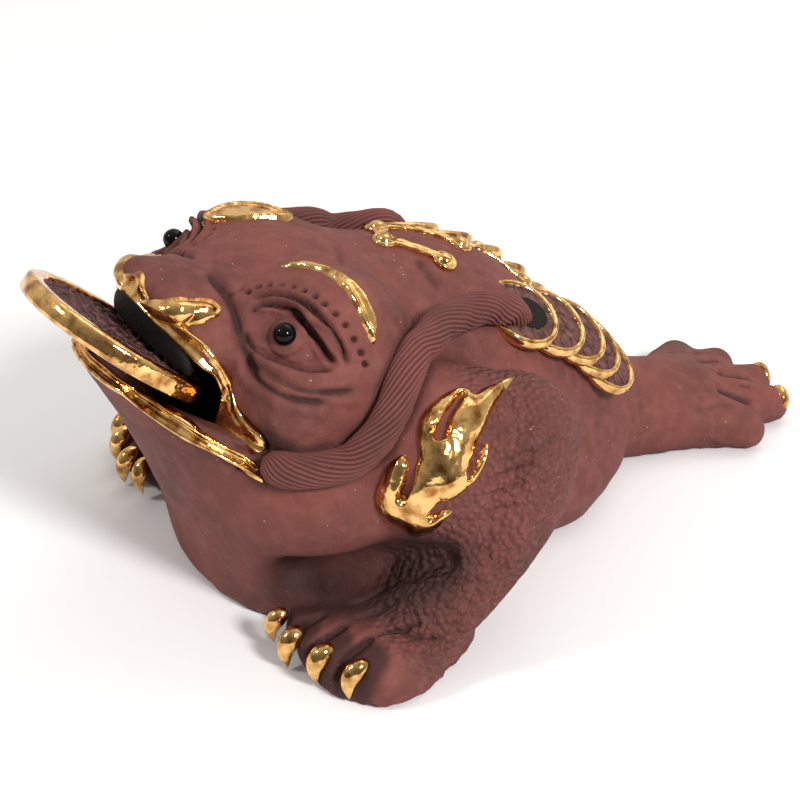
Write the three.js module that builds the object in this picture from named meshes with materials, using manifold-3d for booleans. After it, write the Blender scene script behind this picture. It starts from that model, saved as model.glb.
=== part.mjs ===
// Money toad: a three-legged toad in fired clay with a cash coin resting in its open mouth,
// a rope from each mouth corner to a string of coins on its back, a flame on each shoulder
// and a pattern of stars between the coin strings.
// Millimetres, +Z up. The toad stands on Z = 0 and faces -Y; its left side is +X.

import * as THREE from 'three';
import { mergeVertices } from 'three/addons/utils/BufferGeometryUtils.js';
import Module from 'manifold-3d';

// Sizes that stand by themselves
const FIGURE_LENGTH = 150;        // lower lip to the rear toes
const CLEARANCE = 0.3;            // air between the clay and a piece set in it
const COIN_DIAMETER = 35.9;       // coin in the mouth
const COIN_THICKNESS = 3.4;
const COIN_RIM_WIDTH = 2.4;
const COIN_FACE_DEPTH = 0.6;      // how far the faces lie below the rim
const EYE_BEAD_DIAMETER = 4.8;    // black glass bead in each eye
const EYE_BEAD_STAND = 1.7;       // how far a bead stands out of the eyeball
const ROPE_DIAMETER = 6.2;
const STRING_COINS = 5;           // coins on each string
const STRING_COIN_DIAMETER = 15;
const STRING_COIN_THICKNESS = 2.4;
const RELIEF_HEIGHT = 1.3;        // flames, brows and lip leaves stand this far off the skin
const STAR_DIAMETER = 3.8;
const STAR_LINK_DIAMETER = 1.5;
const CLAW_LENGTH = 8.4;
const CLAW_WIDTH = 3.6;
const LIP_WIDTH = 2.6;            // rounded edge of the jaws
const EYELID_WIDTH = 1.9;

// The free form is drawn on a 150 long figure and keeps its proportions
const share = FIGURE_LENGTH / 150;
const P = (x, y, z) => new THREE.Vector3(x, y, z).multiplyScalar(share);
const rad = THREE.MathUtils.degToRad;

// Distance field of the figure's skin, in drawn units
const blend = (a, b, k) => {
  const h = Math.min(1, Math.max(0, 0.5 + 0.5 * (b - a) / k));
  return b + (a - b) * h - k * h * (1 - h);
};
const carve = (a, b, k) => -blend(-a, b, k);

function ovoid(x, y, z, cx, cy, cz, rx, ry, rz, lean = 0) {
  const c = Math.cos(rad(lean)), s = Math.sin(rad(lean));
  const u = (x - cx) / rx, dy = y - cy, dz = z - cz;
  const v = (c * dy + s * dz) / ry, w = (c * dz - s * dy) / rz;
  const k0 = Math.hypot(u, v, w), k1 = Math.hypot(u / rx, v / ry, w / rz) + 1e-9;
  return k0 * (k0 - 1) / k1;
}

function limb(x, y, z, a, b, ra, rb) {
  const dx = b[0] - a[0], dy = b[1] - a[1], dz = b[2] - a[2];
  const px = x - a[0], py = y - a[1], pz = z - a[2];
  const t = Math.min(1, Math.max(0, (px * dx + py * dy + pz * dz) / (dx * dx + dy * dy + dz * dz)));
  return Math.hypot(px - t * dx, py - t * dy, pz - t * dz) - ra - (rb - ra) * t;
}

// Each eye looks out, forward and up
const EYE = {
  centre: new THREE.Vector3(21.3, -42.9, 54.6),
  along: new THREE.Vector3(0.755, 0.596, -0.271).normalize(),
  out: new THREE.Vector3(0.587, -0.432, 0.683).normalize(),
};
EYE.up = new THREE.Vector3().crossVectors(EYE.out, EYE.along).normalize();
EYE.out.crossVectors(EYE.along, EYE.up);
const EYEBALL_RADIUS = 5.6;
const EYEBALL_SINK = 5.0;

function skin(px, y, z) {
  const x = Math.abs(px);

  // Trunk, rump and thighs
  let body = ovoid(x, y, z, 0, -10, 24.5, 28, 38, 27, -20);
  body = blend(body, ovoid(x, y, z, 0, 14, 17, 15, 30, 17, -20), 8);
  body = blend(body, ovoid(x, y, z, 9, 9, 8, 16, 23, 12.5), 6);

  // Throat and chest: each level slice is half an ellipse, longest at the lower lip
  const zc = Math.max(z, -3);
  const keel = -52.2 - 2 * (1 - Math.exp(-zc / 9)) - 0.112 * Math.max(zc - 7, 0) ** 1.35;
  const depth = -43.3 - keel, half = 29.4 * (1 - 0.29 * Math.exp(-zc / 10));
  let chest = (Math.hypot(x / half, Math.min(y + 43.3, 0) / depth) - 1) * Math.min(depth, half) * 0.9;
  chest = carve(chest, -(y + 26), 8);
  chest = carve(chest, -(z - 49), 3);
  chest = blend(chest, ovoid(x, y, z, 22, -33, 26, 15, 17, 12), 6);
  chest = blend(chest, ovoid(x, y, z, 20, -24, 6, 15, 20, 12), 5);
  body = blend(body, chest, 6);

  // Head, cheeks, brows and snout
  let head = ovoid(x, y, z, 0, -33, 44, 26, 22, 17, -4);
  head = blend(head, ovoid(x, y, z, 18.5, -35.5, 44, 11, 16, 13), 5);
  head = blend(head, ovoid(x, y, z, 16, -33, 51.5, 10.5, 11, 8), 5);
  head = blend(head, ovoid(x, y, z, 0, -47, 52, 15, 14.5, 7), 5);
  let d = blend(body, head, 4);

  // Eye sockets with a low eyeball in each
  const ex = x - EYE.centre.x, ey = y - EYE.centre.y, ez = z - EYE.centre.z;
  const ea = ex * EYE.along.x + ey * EYE.along.y + ez * EYE.along.z;
  const eu = ex * EYE.up.x + ey * EYE.up.y + ez * EYE.up.z;
  const eo = ex * EYE.out.x + ey * EYE.out.y + ez * EYE.out.z;
  d = carve(d, ovoid(ea, eu, eo, 0, -0.4, 0.6, 9, 4.4, 2.6), 1);
  d = blend(d, Math.hypot(ea + 0.6, eu, eo + EYEBALL_SINK) - EYEBALL_RADIUS, 0.8);

  // Arms, paws and toes
  let arm = limb(x, y, z, [31, -20, 31.5], [36, -10, 33.5], 16, 11.5);
  arm = blend(arm, limb(x, y, z, [39, -9, 26], [41, -27, 10], 9, 8.5), 6);
  arm = blend(arm, ovoid(x, y, z, 40, -34.5, 1.5, 12.3, 15, 9.2), 4);
  arm = blend(arm, limb(x, y, z, [42, -32, 3], [47.5, -40.5, 1.5], 6, 3.2), 3);
  for (const toe of TOES) arm = blend(arm, limb(x, y, z, toe.root, toe.tip, 4.4, 3.6), 2);
  d = blend(d, arm, 4);

  // The single hind leg, trailing, with a webbed foot
  let leg = limb(px, y, z, [0, 26, 10], [0, 52, 5], 9, 8);
  for (const tip of REAR_TOES) leg = blend(leg, limb(px, y, z, [0, 44, 5], tip, 7.5, 3.8), 5);
  return Math.max(blend(d, leg, 6), -z - 3);     // ends below the ground, where it is cut flat
}

const TOES = [0, 1, 2, 3].map((i) => ({
  root: [34 + 4 * i, -41.5 - 0.5 * i * (1 - i), 4.5],
  tip: [30 + 5.7 * i, -46 - 1.1 * i * (1.7 - i), 4],
}));
const REAR_TOES = [-35, -20, -2, 16, 42].map((turn, i) => {
  const reach = [28, 29.7, 30, 29.1, 23][i];
  return [reach * Math.sin(rad(turn)), 44 + reach * Math.cos(rad(turn)), 3.5];
});

function range(from, to, step) {
  const n = Math.ceil((to - from) / step);
  return Array.from({ length: n + 1 }, (_, i) => from + i * step);
}

// A grid cell: the bits of a corner's number are its x, y and z; an edge is its two corners and
// its axis; a ring is the four corners round a face
const CELL_EDGES = [];
const CELL_RINGS = [];
for (let axis = 0; axis < 3; axis++) {
  const [m, u, w] = [axis, (axis + 1) % 3, (axis + 2) % 3].map((n) => 1 << n);
  for (let a = 0; a < 8; a++) if (!(a & m)) CELL_EDGES.push([a, a | m, axis]);
  for (const side of [0, m]) CELL_RINGS.push([side, side | u, side | u | w, side | w]);
}
const edgeOf = (a, b) => CELL_EDGES.findIndex(([p, q]) => p === Math.min(a, b) && q === Math.max(a, b));

// The crossed edges of a cell, in one group for each sheet of the surface that passes through it
function sheets(inside) {
  const group = CELL_EDGES.map((_, n) => n);
  for (const ring of CELL_RINGS) for (let n = 0; n < 4; n++) {
    const corner = (m) => ring[(n + m + 4) % 4];
    if (!inside[corner(0)] || inside[corner(-1)]) continue;
    let last = 0;
    while (inside[corner(last + 1)]) last++;
    const from = group[edgeOf(corner(-1), corner(0))];
    const to = group[edgeOf(corner(last), corner(last + 1))];
    for (let e = 0; e < group.length; e++) if (group[e] === to) group[e] = from;
  }
  const isCrossed = ([a, b]) => inside[a] !== inside[b];
  const crossed = group.map((_, e) => e).filter((e) => isCrossed(CELL_EDGES[e]));
  return [...new Set(crossed.map((e) => group[e]))].map((g) => crossed.filter((e) => group[e] === g));
}

// Slope of a field at a point, and a point moved onto the field's zero surface
function slopeAt(f, p) {
  const e = 0.05;
  return [0, 1, 2].map((m) => {
    const [q, r] = [[...p], [...p]];
    q[m] += e;
    r[m] -= e;
    return (f(...q) - f(...r)) / (2 * e);
  });
}

function drawnOn(f, point) {
  let p = point;
  for (let step = 0; step < 3; step++) {
    const slope = slopeAt(f, p);
    const scale = f(...p) / Math.max(slope[0] ** 2 + slope[1] ** 2 + slope[2] ** 2, 0.3);
    const held = Math.min(1, 0.8 / (Math.abs(scale) * Math.hypot(...slope) + 1e-9));
    p = p.map((c, m) => c - scale * held * slope[m]);
  }
  return p;
}

// The skin of a field: each sheet has one vertex in each cell that it passes through, and each
// crossed edge of the grid is the middle of a face
function skinGeometry(f, xs, ys, zs) {
  const [nx, ny, nz] = [xs.length, ys.length, zs.length];
  const at = (i, j, k) => (i * ny + j) * nz + k;
  const value = new Float64Array(nx * ny * nz);
  for (let i = 0; i < nx; i++) for (let j = 0; j < ny; j++) for (let k = 0; k < nz; k++)
    value[at(i, j, k)] = f(xs[i], ys[j], zs[k]);
  const vertexOf = new Map(), points = [];
  for (let i = 0; i < nx - 1; i++) for (let j = 0; j < ny - 1; j++) for (let k = 0; k < nz - 1; k++) {
    const corners = [0, 1, 2, 3, 4, 5, 6, 7].map((n) => [i + (n & 1), j + (n >> 1 & 1), k + (n >> 2)]);
    const values = corners.map((c) => value[at(...c)]);
    for (const sheet of sheets(values.map((v) => v < 0))) {
      const middle = [0, 0, 0];
      for (const e of sheet) {
        const [a, b] = CELL_EDGES[e];
        const t = values[a] / (values[a] - values[b]);
        const [p, q] = [corners[a], corners[b]].map((c) => [xs[c[0]], ys[c[1]], zs[c[2]]]);
        for (let m = 0; m < 3; m++) middle[m] += (p[m] + t * (q[m] - p[m])) / sheet.length;
        vertexOf.set(12 * at(i, j, k) + e, points.length / 3);
      }
      points.push(...drawnOn(f, middle).map((c) => c * share));
    }
  }
  const gap = (a, b) => Math.hypot(...[0, 1, 2].map((m) => points[3 * a + m] - points[3 * b + m]));
  const faces = [];
  for (let i = 1; i < nx - 1; i++) for (let j = 1; j < ny - 1; j++) for (let k = 1; k < nz - 1; k++)
    for (let axis = 0; axis < 3; axis++) {
      const end = [i, j, k];
      end[axis] += 1;
      const inside = value[at(i, j, k)] < 0;
      if (inside === value[at(...end)] < 0) continue;
      const [u, w] = [(axis + 1) % 3, (axis + 2) % 3];
      const q = [[1, 1], [0, 1], [0, 0], [1, 0]].map(([du, dw]) => {
        const cell = [i, j, k], from = (du << u) | (dw << w);
        cell[u] -= du;
        cell[w] -= dw;
        return vertexOf.get(12 * at(...cell) + edgeOf(from, from | 1 << axis));
      });
      if (!inside) q.reverse();
      if (gap(q[0], q[2]) <= gap(q[1], q[3])) faces.push(q[0], q[1], q[2], q[0], q[2], q[3]);
      else faces.push(q[0], q[1], q[3], q[1], q[2], q[3]);
    }
  const geometry = new THREE.BufferGeometry();
  geometry.setAttribute('position', new THREE.Float32BufferAttribute(points, 3));
  geometry.setIndex(faces);
  return geometry;
}

// The same net, moved out from the skin by a height in millimetres
function raisedGeometry(skinned, f, height) {
  const raised = skinned.clone(), position = raised.attributes.position;
  for (let n = 0; n < position.count; n++) {
    const point = new THREE.Vector3().fromBufferAttribute(position, n);
    const out = new THREE.Vector3(...slopeAt(f, point.clone().divideScalar(share).toArray())).normalize();
    position.setXYZ(n, ...point.addScaledVector(out, height).toArray());
  }
  return raised;
}

// Joining and cutting
const wasm = await Module();
wasm.setup();

function solid(geometry) {
  const bare = geometry.clone();
  bare.deleteAttribute('normal');
  bare.deleteAttribute('uv');
  const merged = mergeVertices(bare, 1e-4);
  const xyz = merged.attributes.position.array, ids = merged.index.array;
  const tris = [];
  let volume = 0;
  for (let t = 0; t < ids.length; t += 3) {
    const [a, b, c] = [ids[t], ids[t + 1], ids[t + 2]];
    if (a === b || b === c || c === a) continue;
    tris.push(a, b, c);
    const [A, B, C] = [a, b, c].map((n) => new THREE.Vector3().fromArray(xyz, 3 * n));
    volume += A.dot(B.cross(C)) / 6;
  }
  if (volume < 0) tris.reverse();
  return new wasm.Manifold(new wasm.Mesh({
    numProp: 3,
    vertProperties: new Float32Array(xyz),
    triVerts: new Uint32Array(tris),
  }));
}

function geometryOf(manifold) {
  const mesh = manifold.getMesh();
  const geometry = new THREE.BufferGeometry();
  const xyz = new Float32Array(mesh.numVert * 3);
  for (let i = 0; i < mesh.numVert; i++)
    for (let m = 0; m < 3; m++) xyz[3 * i + m] = mesh.vertProperties[i * mesh.numProp + m];
  geometry.setAttribute('position', new THREE.BufferAttribute(xyz, 3));
  geometry.setIndex(new THREE.BufferAttribute(new Uint32Array(mesh.triVerts), 1));
  geometry.computeVertexNormals();
  return geometry;
}

// A frame whose Z is the given outward direction and whose Y runs as nearly as it can along `up`
function frameAt(origin, out, up) {
  const z = out.clone().normalize();
  const x = new THREE.Vector3().crossVectors(up, z).normalize();
  const y = new THREE.Vector3().crossVectors(z, x);
  return new THREE.Matrix4().makeBasis(x, y, z).setPosition(origin);
}

// A piece and its mirror image on the other side
const both = (geometry) => [geometry, geometry.clone().scale(-1, 1, 1)];

// A round bar along a smooth curve, tapering in the clay at its ends
function bar(points, diameter, sides = 8, steps = 20) {
  const path = new THREE.CatmullRomCurve3(points, false, 'centripetal');
  const section = new THREE.Shape();
  for (let i = 0; i < sides; i++) {
    const a = 2 * Math.PI * i / sides, r = diameter / 2;
    if (i) section.lineTo(r * Math.cos(a), r * Math.sin(a));
    else section.moveTo(r, 0);
  }
  return new THREE.ExtrudeGeometry(section, { steps, extrudePath: path, curveSegments: 1 });
}

// A cash coin: a rim standing round sunken faces
function coinGeometry(diameter, thickness, rim, sink, segments) {
  const R = diameter / 2, t = thickness / 2;
  const profile = [
    [0, -t + sink], [R - rim, -t + sink], [R - rim, -t], [R, -t],
    [R, t], [R - rim, t], [R - rim, t - sink], [0, t - sink],
  ].map(([r, h]) => new THREE.Vector2(r, h));
  return new THREE.LatheGeometry(profile, segments).rotateX(Math.PI / 2);
}

// The clay body
const xs = range(-58.5, 59, 4.5), zs = range(-10, 66, 4);
const ys = [...range(-79.4, -24, 4.2), ...range(-18.6, 88, 5.8)];
const skinned = skinGeometry(skin, xs, ys, zs);
const body = solid(skinned);
const raised = solid(raisedGeometry(skinned, skin, RELIEF_HEIGHT));

// Gape and gullet: a wedge that opens forward and up from the corners of the mouth, and a low
// hollow behind it
const GAPE_ANGLE = rad(46);
const GAPE_LENGTH = 44;
const GAPE_END = 0.5;             // half opening at the corners of the mouth
const GAPE_SLOPE = 0.3;           // half opening per length of jaw
const mouthFrame = new THREE.Matrix4().makeBasis(
  new THREE.Vector3(0, -Math.cos(GAPE_ANGLE), Math.sin(GAPE_ANGLE)),
  new THREE.Vector3(0, Math.sin(GAPE_ANGLE), Math.cos(GAPE_ANGLE)),
  new THREE.Vector3(-1, 0, 0),
).setPosition(P(0, -50, 38.5));
const wedge = new THREE.Shape();
wedge.moveTo(-share, -GAPE_END * share);
wedge.lineTo(GAPE_LENGTH * share, -(GAPE_END + GAPE_SLOPE * GAPE_LENGTH) * share);
wedge.lineTo(GAPE_LENGTH * share, (GAPE_END + GAPE_SLOPE * GAPE_LENGTH) * share);
wedge.lineTo(-share, GAPE_END * share);
const gape = new THREE.ExtrudeGeometry(wedge, { depth: 2 * GAPE_LENGTH * share, bevelEnabled: false })
  .translate(0, 0, -GAPE_LENGTH * share).applyMatrix4(mouthFrame);
const gullet = new THREE.SphereGeometry(share, 20, 10).scale(24, 6.5, 18).translate(3 * share, 0, 0)
  .applyMatrix4(mouthFrame);
const mouth = solid(gape).add(solid(gullet));

// Relief: an outline cut out of the raised skin
function relief(outline, origin, out, up, reach, fineness) {
  const options = { depth: 2 * reach * share, bevelEnabled: false, curveSegments: fineness };
  const prism = new THREE.ExtrudeGeometry(outline, options).translate(0, 0, -reach * share)
    .applyMatrix4(frameAt(origin, out, up));
  return both(prism).map((g) => solid(g).intersect(raised));
}

// Shoulder flame: three tongues over a rounded foot
const flame = new THREE.Shape();
{
  const s = share;
  const to = (...p) => flame.splineThru(p.map(([a, b]) => new THREE.Vector2(a * s, b * s)));
  flame.moveTo(-5.9 * s, 0.1 * s);
  to([-6, -5], [-3.4, -9], [2.6, -9.6], [5.7, -6.2], [6, -2.6]);
  to([3.2, -4.4], [5.5, -1.4]);
  to([7.2, 2.4], [6.8, 6.4], [4.1, 8.9]);
  to([4.4, 4.6], [2.6, 7.6]);
  to([3.6, 13], [3, 21.3]);
  to([0.4, 17], [-1.5, 12.8], [-2.6, 5.6]);
  to([-3.6, 10.6], [-2.4, 14.8]);
  to([-6.2, 10.4], [-6.9, 5.9], [-4, 2]);
  to([-2.2, -4.4], [-5.9, 0.1]);
}
const flames = relief(flame, P(40, -28, 34), new THREE.Vector3(0.787, -0.353, 0.506),
  new THREE.Vector3(-0.12, 0.716, 0.687), 7, 1);

// Brow: a crescent over each eye, thin in front and at its outer end
const brow = new THREE.Shape();
brow.moveTo(-12.2 * share, 0);
brow.quadraticCurveTo(-2 * share, 6.6 * share, 9.3 * share, -0.6 * share);
brow.quadraticCurveTo(2 * share, 0.6 * share, -3 * share, 0.6 * share);
brow.quadraticCurveTo(-8 * share, 1.4 * share, -12.2 * share, 0);
const brows = relief(brow, P(19.4, -32.6, 58.6), new THREE.Vector3(0.35, 0.1, 0.93),
  new THREE.Vector3(-0.325, 0.945, 0.021), 6, 4);

// Leaf on each side of the snout
const leaf = new THREE.Shape();
leaf.moveTo(-7 * share, -0.6 * share);
leaf.quadraticCurveTo(-1 * share, 4.4 * share, 4 * share, 1.2 * share);
leaf.quadraticCurveTo(0, -3.6 * share, -7 * share, -0.6 * share);
const leaves = relief(leaf, P(9, -53, 56), new THREE.Vector3(0.374, -0.374, 0.848),
  new THREE.Vector3(-0.6, 0.6, 0.529), 5, 4);

// Lips: a rounded edge round each jaw
const lips = [];
{
  const lower = [-1, -0.92, -0.75, -0.5, 0, 0.5, 0.75, 0.92, 1].map((t) => {
    const a = t * Math.PI / 2;
    const y = -49.6 - 21.2 * Math.cos(a);
    return P(26.4 * Math.sin(a), y, 37 + 0.56 * (-50 - y));
  });
  lips.push(bar(lower, LIP_WIDTH, 6, 14));
  const snout = [-1, -0.85, -0.6, -0.3, 0, 0.3, 0.6, 0.85, 1].map((t) => {
    const a = t * Math.PI / 2;
    return P(16.8 * Math.sin(a), -52.6 - 7.6 * Math.cos(a) ** 0.8, 45.6 + 12.6 * Math.cos(a) ** 0.9);
  });
  lips.push(bar(snout, LIP_WIDTH * 0.8, 5, 14));
  lips.push(...both(bar([P(16.8, -52.6, 46.6), P(16.6, -53.4, 44), P(19.6, -53, 41.8), P(25, -49.6, 39.4)],
    LIP_WIDTH * 0.8, 5, 5)));
}

// Eyelids: an arc over each eye
const eyePoint = (a, u, o) => EYE.centre.clone().addScaledVector(EYE.along, a)
  .addScaledVector(EYE.up, u).addScaledVector(EYE.out, o).multiplyScalar(share);
const lidPoints = [
  eyePoint(-8.8, -1.2, 0), eyePoint(-5.4, 3, 1), eyePoint(0.6, 4.6, 1.4), eyePoint(6, 2.4, 0.6),
  eyePoint(9.8, -1.8, -1.6),
];
const lids = both(bar(lidPoints, EYELID_WIDTH, 5, 7));

// Ropes: from a loop at the mouth corner, under the cheek, up and back to the first coin's eye
const ropePoints = [
  P(24.5, -51, 38.5), P(28.6, -49.6, 37.4), P(31.2, -45.4, 36.2), P(33.4, -39.4, 36.6), P(34.2, -34.6, 40.6),
  P(33.2, -31, 44.6), P(30.6, -27, 48.6), P(26.4, -21.6, 51.2), P(21.4, -14.4, 51.8), P(18.4, -7.6, 51.4),
  P(17.2, -1, 50.2), P(16.8, 4.4, 48), P(16.6, 7.4, 44.4),
];
const ropes = both(bar(ropePoints, ROPE_DIAMETER, 8, 16));

// Coin strings: each coin lies on the next one behind it
const strung = [];
for (let i = 0; i < STRING_COINS; i++) {
  const t = i / (STRING_COINS - 1);
  const centre = P(17.2 - 4.2 * t, 6.4 + 23.6 * t, 43.6 - 15.6 * t - 3.4 * t * t);
  const out = new THREE.Vector3(0.36 - 0.04 * t, 0.3 + 0.22 * t, 0.88 - 0.12 * t);
  const radius = STRING_COIN_DIAMETER / 2;
  const coin = new THREE.CylinderGeometry(radius, radius, STRING_COIN_THICKNESS, 14).rotateX(Math.PI / 2)
    .applyMatrix4(frameAt(centre, out, new THREE.Vector3(0, 1, 0)));
  strung.push(...both(coin));
}

// Stars: a bowl of four and a tail of three down the spine, joined by thin bars
const starAt = (x, y) => {
  let z = 60;
  for (let i = 0; i < 40; i++) z -= skin(x, y, z) * 0.8;
  return P(x, y, z + 0.9);
};
const bowl = [starAt(5.4, -14.5), starAt(-3.6, -14.2), starAt(-4.6, 3.6), starAt(3.8, -1.6)];
const tail = [starAt(4.4, 8.2), starAt(-0.6, 14.6), starAt(3.2, 21)];
const stars = [...bowl, ...tail].map((p) => new THREE.SphereGeometry(STAR_DIAMETER / 2, 6, 4)
  .rotateX(Math.PI / 2).translate(p.x, p.y, p.z));
const chain = [bowl[2], bowl[1], bowl[0], bowl[3], ...tail];
for (let i = 1; i < chain.length; i++) {
  const [a, b] = [chain[i - 1], chain[i]];
  const mid = a.clone().add(b).multiplyScalar(0.5);
  mid.z = Math.max(mid.z, starAt(mid.x / share, mid.y / share).z);
  const sunk = [a, mid, b].map((p) => p.clone().setZ(p.z - 0.9 * share + STAR_LINK_DIAMETER * 0.2));
  stars.push(bar(sunk, STAR_LINK_DIAMETER, 4, 1));
}

// Claws: pointed hooks from the top of each front toe down to the ground
const claws = [];
for (let i = 0; i < 4; i++) {
  const root = P(29 + 6.1 * i, -48.2 - 1.1 * i * (1.55 - i), 8);
  const tip = P(27.8 + 6.3 * i, -50.4 - 1.3 * i * (1.77 - i), 0.6);
  const r = CLAW_WIDTH / 2;
  const profile = [[0, 0], [0.85, 0.12], [1, 0.4], [0.7, 0.75], [0, 1]]
    .map(([w, h]) => new THREE.Vector2(w * r, h * CLAW_LENGTH));
  const hook = new THREE.LatheGeometry(profile, 6).rotateX(Math.PI / 2)
    .applyMatrix4(frameAt(root, tip.clone().sub(root), new THREE.Vector3(0, -1, 0)));
  claws.push(...both(hook));
}

// The coin in the mouth lies in the gape, on the tongue and the back of the lower jaw
const COIN_TILT = rad(40.4);
const coinOut = new THREE.Vector3(0, Math.sin(COIN_TILT), Math.cos(COIN_TILT));
const coinTop = P(0, -62.4, 51.8);
const coinCentre = coinTop.clone().addScaledVector(coinOut, -COIN_THICKNESS / 2);
const coinFrame = frameAt(coinCentre, coinOut, new THREE.Vector3(0, 1, 0));
const seat = new THREE.CylinderGeometry(COIN_DIAMETER / 2 + CLEARANCE, COIN_DIAMETER / 2 + CLEARANCE,
  COIN_THICKNESS + 2 * CLEARANCE, 32).rotateX(Math.PI / 2).applyMatrix4(coinFrame);
// The tongue's top is cut flat where the coin lies on it
const tongue = new THREE.SphereGeometry(share, 16, 8).scale(11.5, 4.4, 9)
  .translate(9 * share, -5.5 * share, 0).applyMatrix4(mouthFrame);

let toad = body.subtract(mouth);
for (const piece of [...flames, ...brows, ...leaves]) toad = toad.add(piece.subtract(mouth));
const added = [...lips, ...lids, ...ropes, ...strung, ...stars, ...claws, tongue];
for (const piece of added) toad = toad.add(solid(piece));
toad = toad.subtract(solid(seat));

// Eye beads sit in round seats in the eyeballs
const beadCentre = eyePoint(-0.6, 0, EYEBALL_RADIUS - EYEBALL_SINK)
  .addScaledVector(EYE.out, EYE_BEAD_STAND - EYE_BEAD_DIAMETER / 2);
const beadSeat = new THREE.SphereGeometry(EYE_BEAD_DIAMETER / 2 + CLEARANCE, 12, 7)
  .translate(beadCentre.x, beadCentre.y, beadCentre.z);
for (const cut of both(beadSeat)) toad = toad.subtract(solid(cut));

// The underside is flat
const ground = new THREE.BoxGeometry(2 * FIGURE_LENGTH, 2 * FIGURE_LENGTH, 20).translate(0, 0, -10);
toad = toad.subtract(solid(ground));

// Keep the clay body only, without loose crumbs of relief
const lumps = toad.decompose().sort((a, b) => b.volume() - a.volume());
toad = lumps[0];

// Materials
function material(name, color, roughness, metalness) {
  return new THREE.MeshStandardMaterial({ name, color, roughness, metalness });
}
const clay = material('clay', 0x7d504b, 0.85, 0);
const gold = material('gold', 0xd9a441, 0.2, 1);
const glass = material('glass', 0x050505, 0.05, 0);

function named(name, geometry, material) {
  const mesh = new THREE.Mesh(geometry, material);
  mesh.name = name;
  return mesh;
}

const group = new THREE.Group();
group.add(named('toad', geometryOf(toad), clay));

const mouthCoin = solid(coinGeometry(COIN_DIAMETER, COIN_THICKNESS, COIN_RIM_WIDTH, COIN_FACE_DEPTH, 32));
const coin = named('mouth_coin', geometryOf(mouthCoin), gold);
coin.applyMatrix4(coinFrame);
group.add(coin);

const beadGeometry = geometryOf(solid(new THREE.SphereGeometry(EYE_BEAD_DIAMETER / 2, 14, 8)));
for (const [name, side] of [['eye_left', 1], ['eye_right', -1]]) {
  const bead = named(name, beadGeometry, glass);
  bead.position.set(beadCentre.x * side, beadCentre.y, beadCentre.z);
  group.add(bead);
}

// The origin is on the ground under the middle of the figure
const bounds = new THREE.Box3().setFromObject(group);
group.position.y = -(bounds.min.y + bounds.max.y) / 2;

export default group;
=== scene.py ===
"""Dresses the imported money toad: a purple clay body with gilded lips, brows, flames, claws and
coins, twisted clay ropes and black glass eyes, on a pale sweep in soft studio light."""

import math

import bpy
import numpy as np
from mathutils import Matrix, Vector, noise


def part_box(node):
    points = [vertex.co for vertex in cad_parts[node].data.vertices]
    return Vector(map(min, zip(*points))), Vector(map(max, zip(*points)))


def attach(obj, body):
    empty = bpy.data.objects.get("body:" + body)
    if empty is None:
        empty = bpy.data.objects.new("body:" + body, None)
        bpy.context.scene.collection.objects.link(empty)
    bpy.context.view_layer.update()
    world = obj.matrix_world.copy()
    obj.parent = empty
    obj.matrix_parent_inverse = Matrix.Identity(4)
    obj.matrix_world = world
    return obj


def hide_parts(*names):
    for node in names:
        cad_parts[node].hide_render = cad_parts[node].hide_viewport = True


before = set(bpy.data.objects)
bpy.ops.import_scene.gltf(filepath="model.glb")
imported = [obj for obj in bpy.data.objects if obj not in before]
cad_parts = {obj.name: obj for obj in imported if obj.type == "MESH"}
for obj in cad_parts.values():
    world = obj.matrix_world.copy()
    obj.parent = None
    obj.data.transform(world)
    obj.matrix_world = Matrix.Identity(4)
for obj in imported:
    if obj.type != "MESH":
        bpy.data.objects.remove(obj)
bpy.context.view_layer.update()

bl_info = {
    "name": "Money toad",
    "version": (1, 0, 0),
    "blender": (4, 5, 0),
    "location": "View3D > Sidebar > Toad",
    "description": "Builds the clay, gold, rope and glass of the money toad round its packed solids",
    "category": "Object",
}

MM = 0.001


# Vectors, frames and smooth lines, in the drawing's millimetres: the toad faces -Y

def unit(v):
    """A vector of length one, or each row of an array as one."""
    v = np.asarray(v, float)
    return v / np.linalg.norm(v, axis=-1, keepdims=True)


class Easel:
    """A frame to draw in on the figure: side, up and out from an origin."""

    def __init__(self, origin, out, up):
        self.origin = np.array(origin, float)
        self.out = unit(out)
        self.side = unit(np.cross(up, self.out))
        self.up = np.cross(self.out, self.side)

    def of(self, points):
        """Points of the figure in this frame."""
        return (points - self.origin) @ np.stack([self.side, self.up, self.out], axis=1)

    def at(self, a, b, c=0.0):
        """A point of this frame, or several, on the figure."""
        a, b, c = np.broadcast_arrays(a, b, c)
        return self.origin + np.stack([a, b, c], axis=-1) @ np.stack([self.side, self.up, self.out])


EYE_OUT = unit((0.587, -0.432, 0.683))
EYE_ALONG = unit((0.755, 0.596, -0.271))
EYE_UP = unit(np.cross(EYE_OUT, EYE_ALONG))
EYE = Easel((21.3, -42.9, 54.6), np.cross(EYE_ALONG, EYE_UP), EYE_UP)
JAW_ANGLE = math.radians(46)
MOUTH = Easel((0, -50, 38.5), (-1, 0, 0), (0, math.sin(JAW_ANGLE), math.cos(JAW_ANGLE)))
FLAME = Easel((40, -28, 34), (0.787, -0.353, 0.506), (-0.12, 0.716, 0.687))
LEAF = Easel((10, -56.5, 58), (0.42, -0.62, 0.66), (-0.4, 0.5, 0.75))

# The mouth coin: its tilt, its size, the room round it and the middle of its upper face
COIN_TILT = math.radians(40.4)
COIN_OUT = np.array((0, math.sin(COIN_TILT), math.cos(COIN_TILT)))
COIN_RADIUS, COIN_THICKNESS, CLEARANCE = 17.95, 3.4, 0.3
COIN_TOP = np.array((0, -62.4, 51.8))
COIN = Easel(COIN_TOP - COIN_OUT * COIN_THICKNESS / 2, COIN_OUT, (0, 1, 0))

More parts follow.
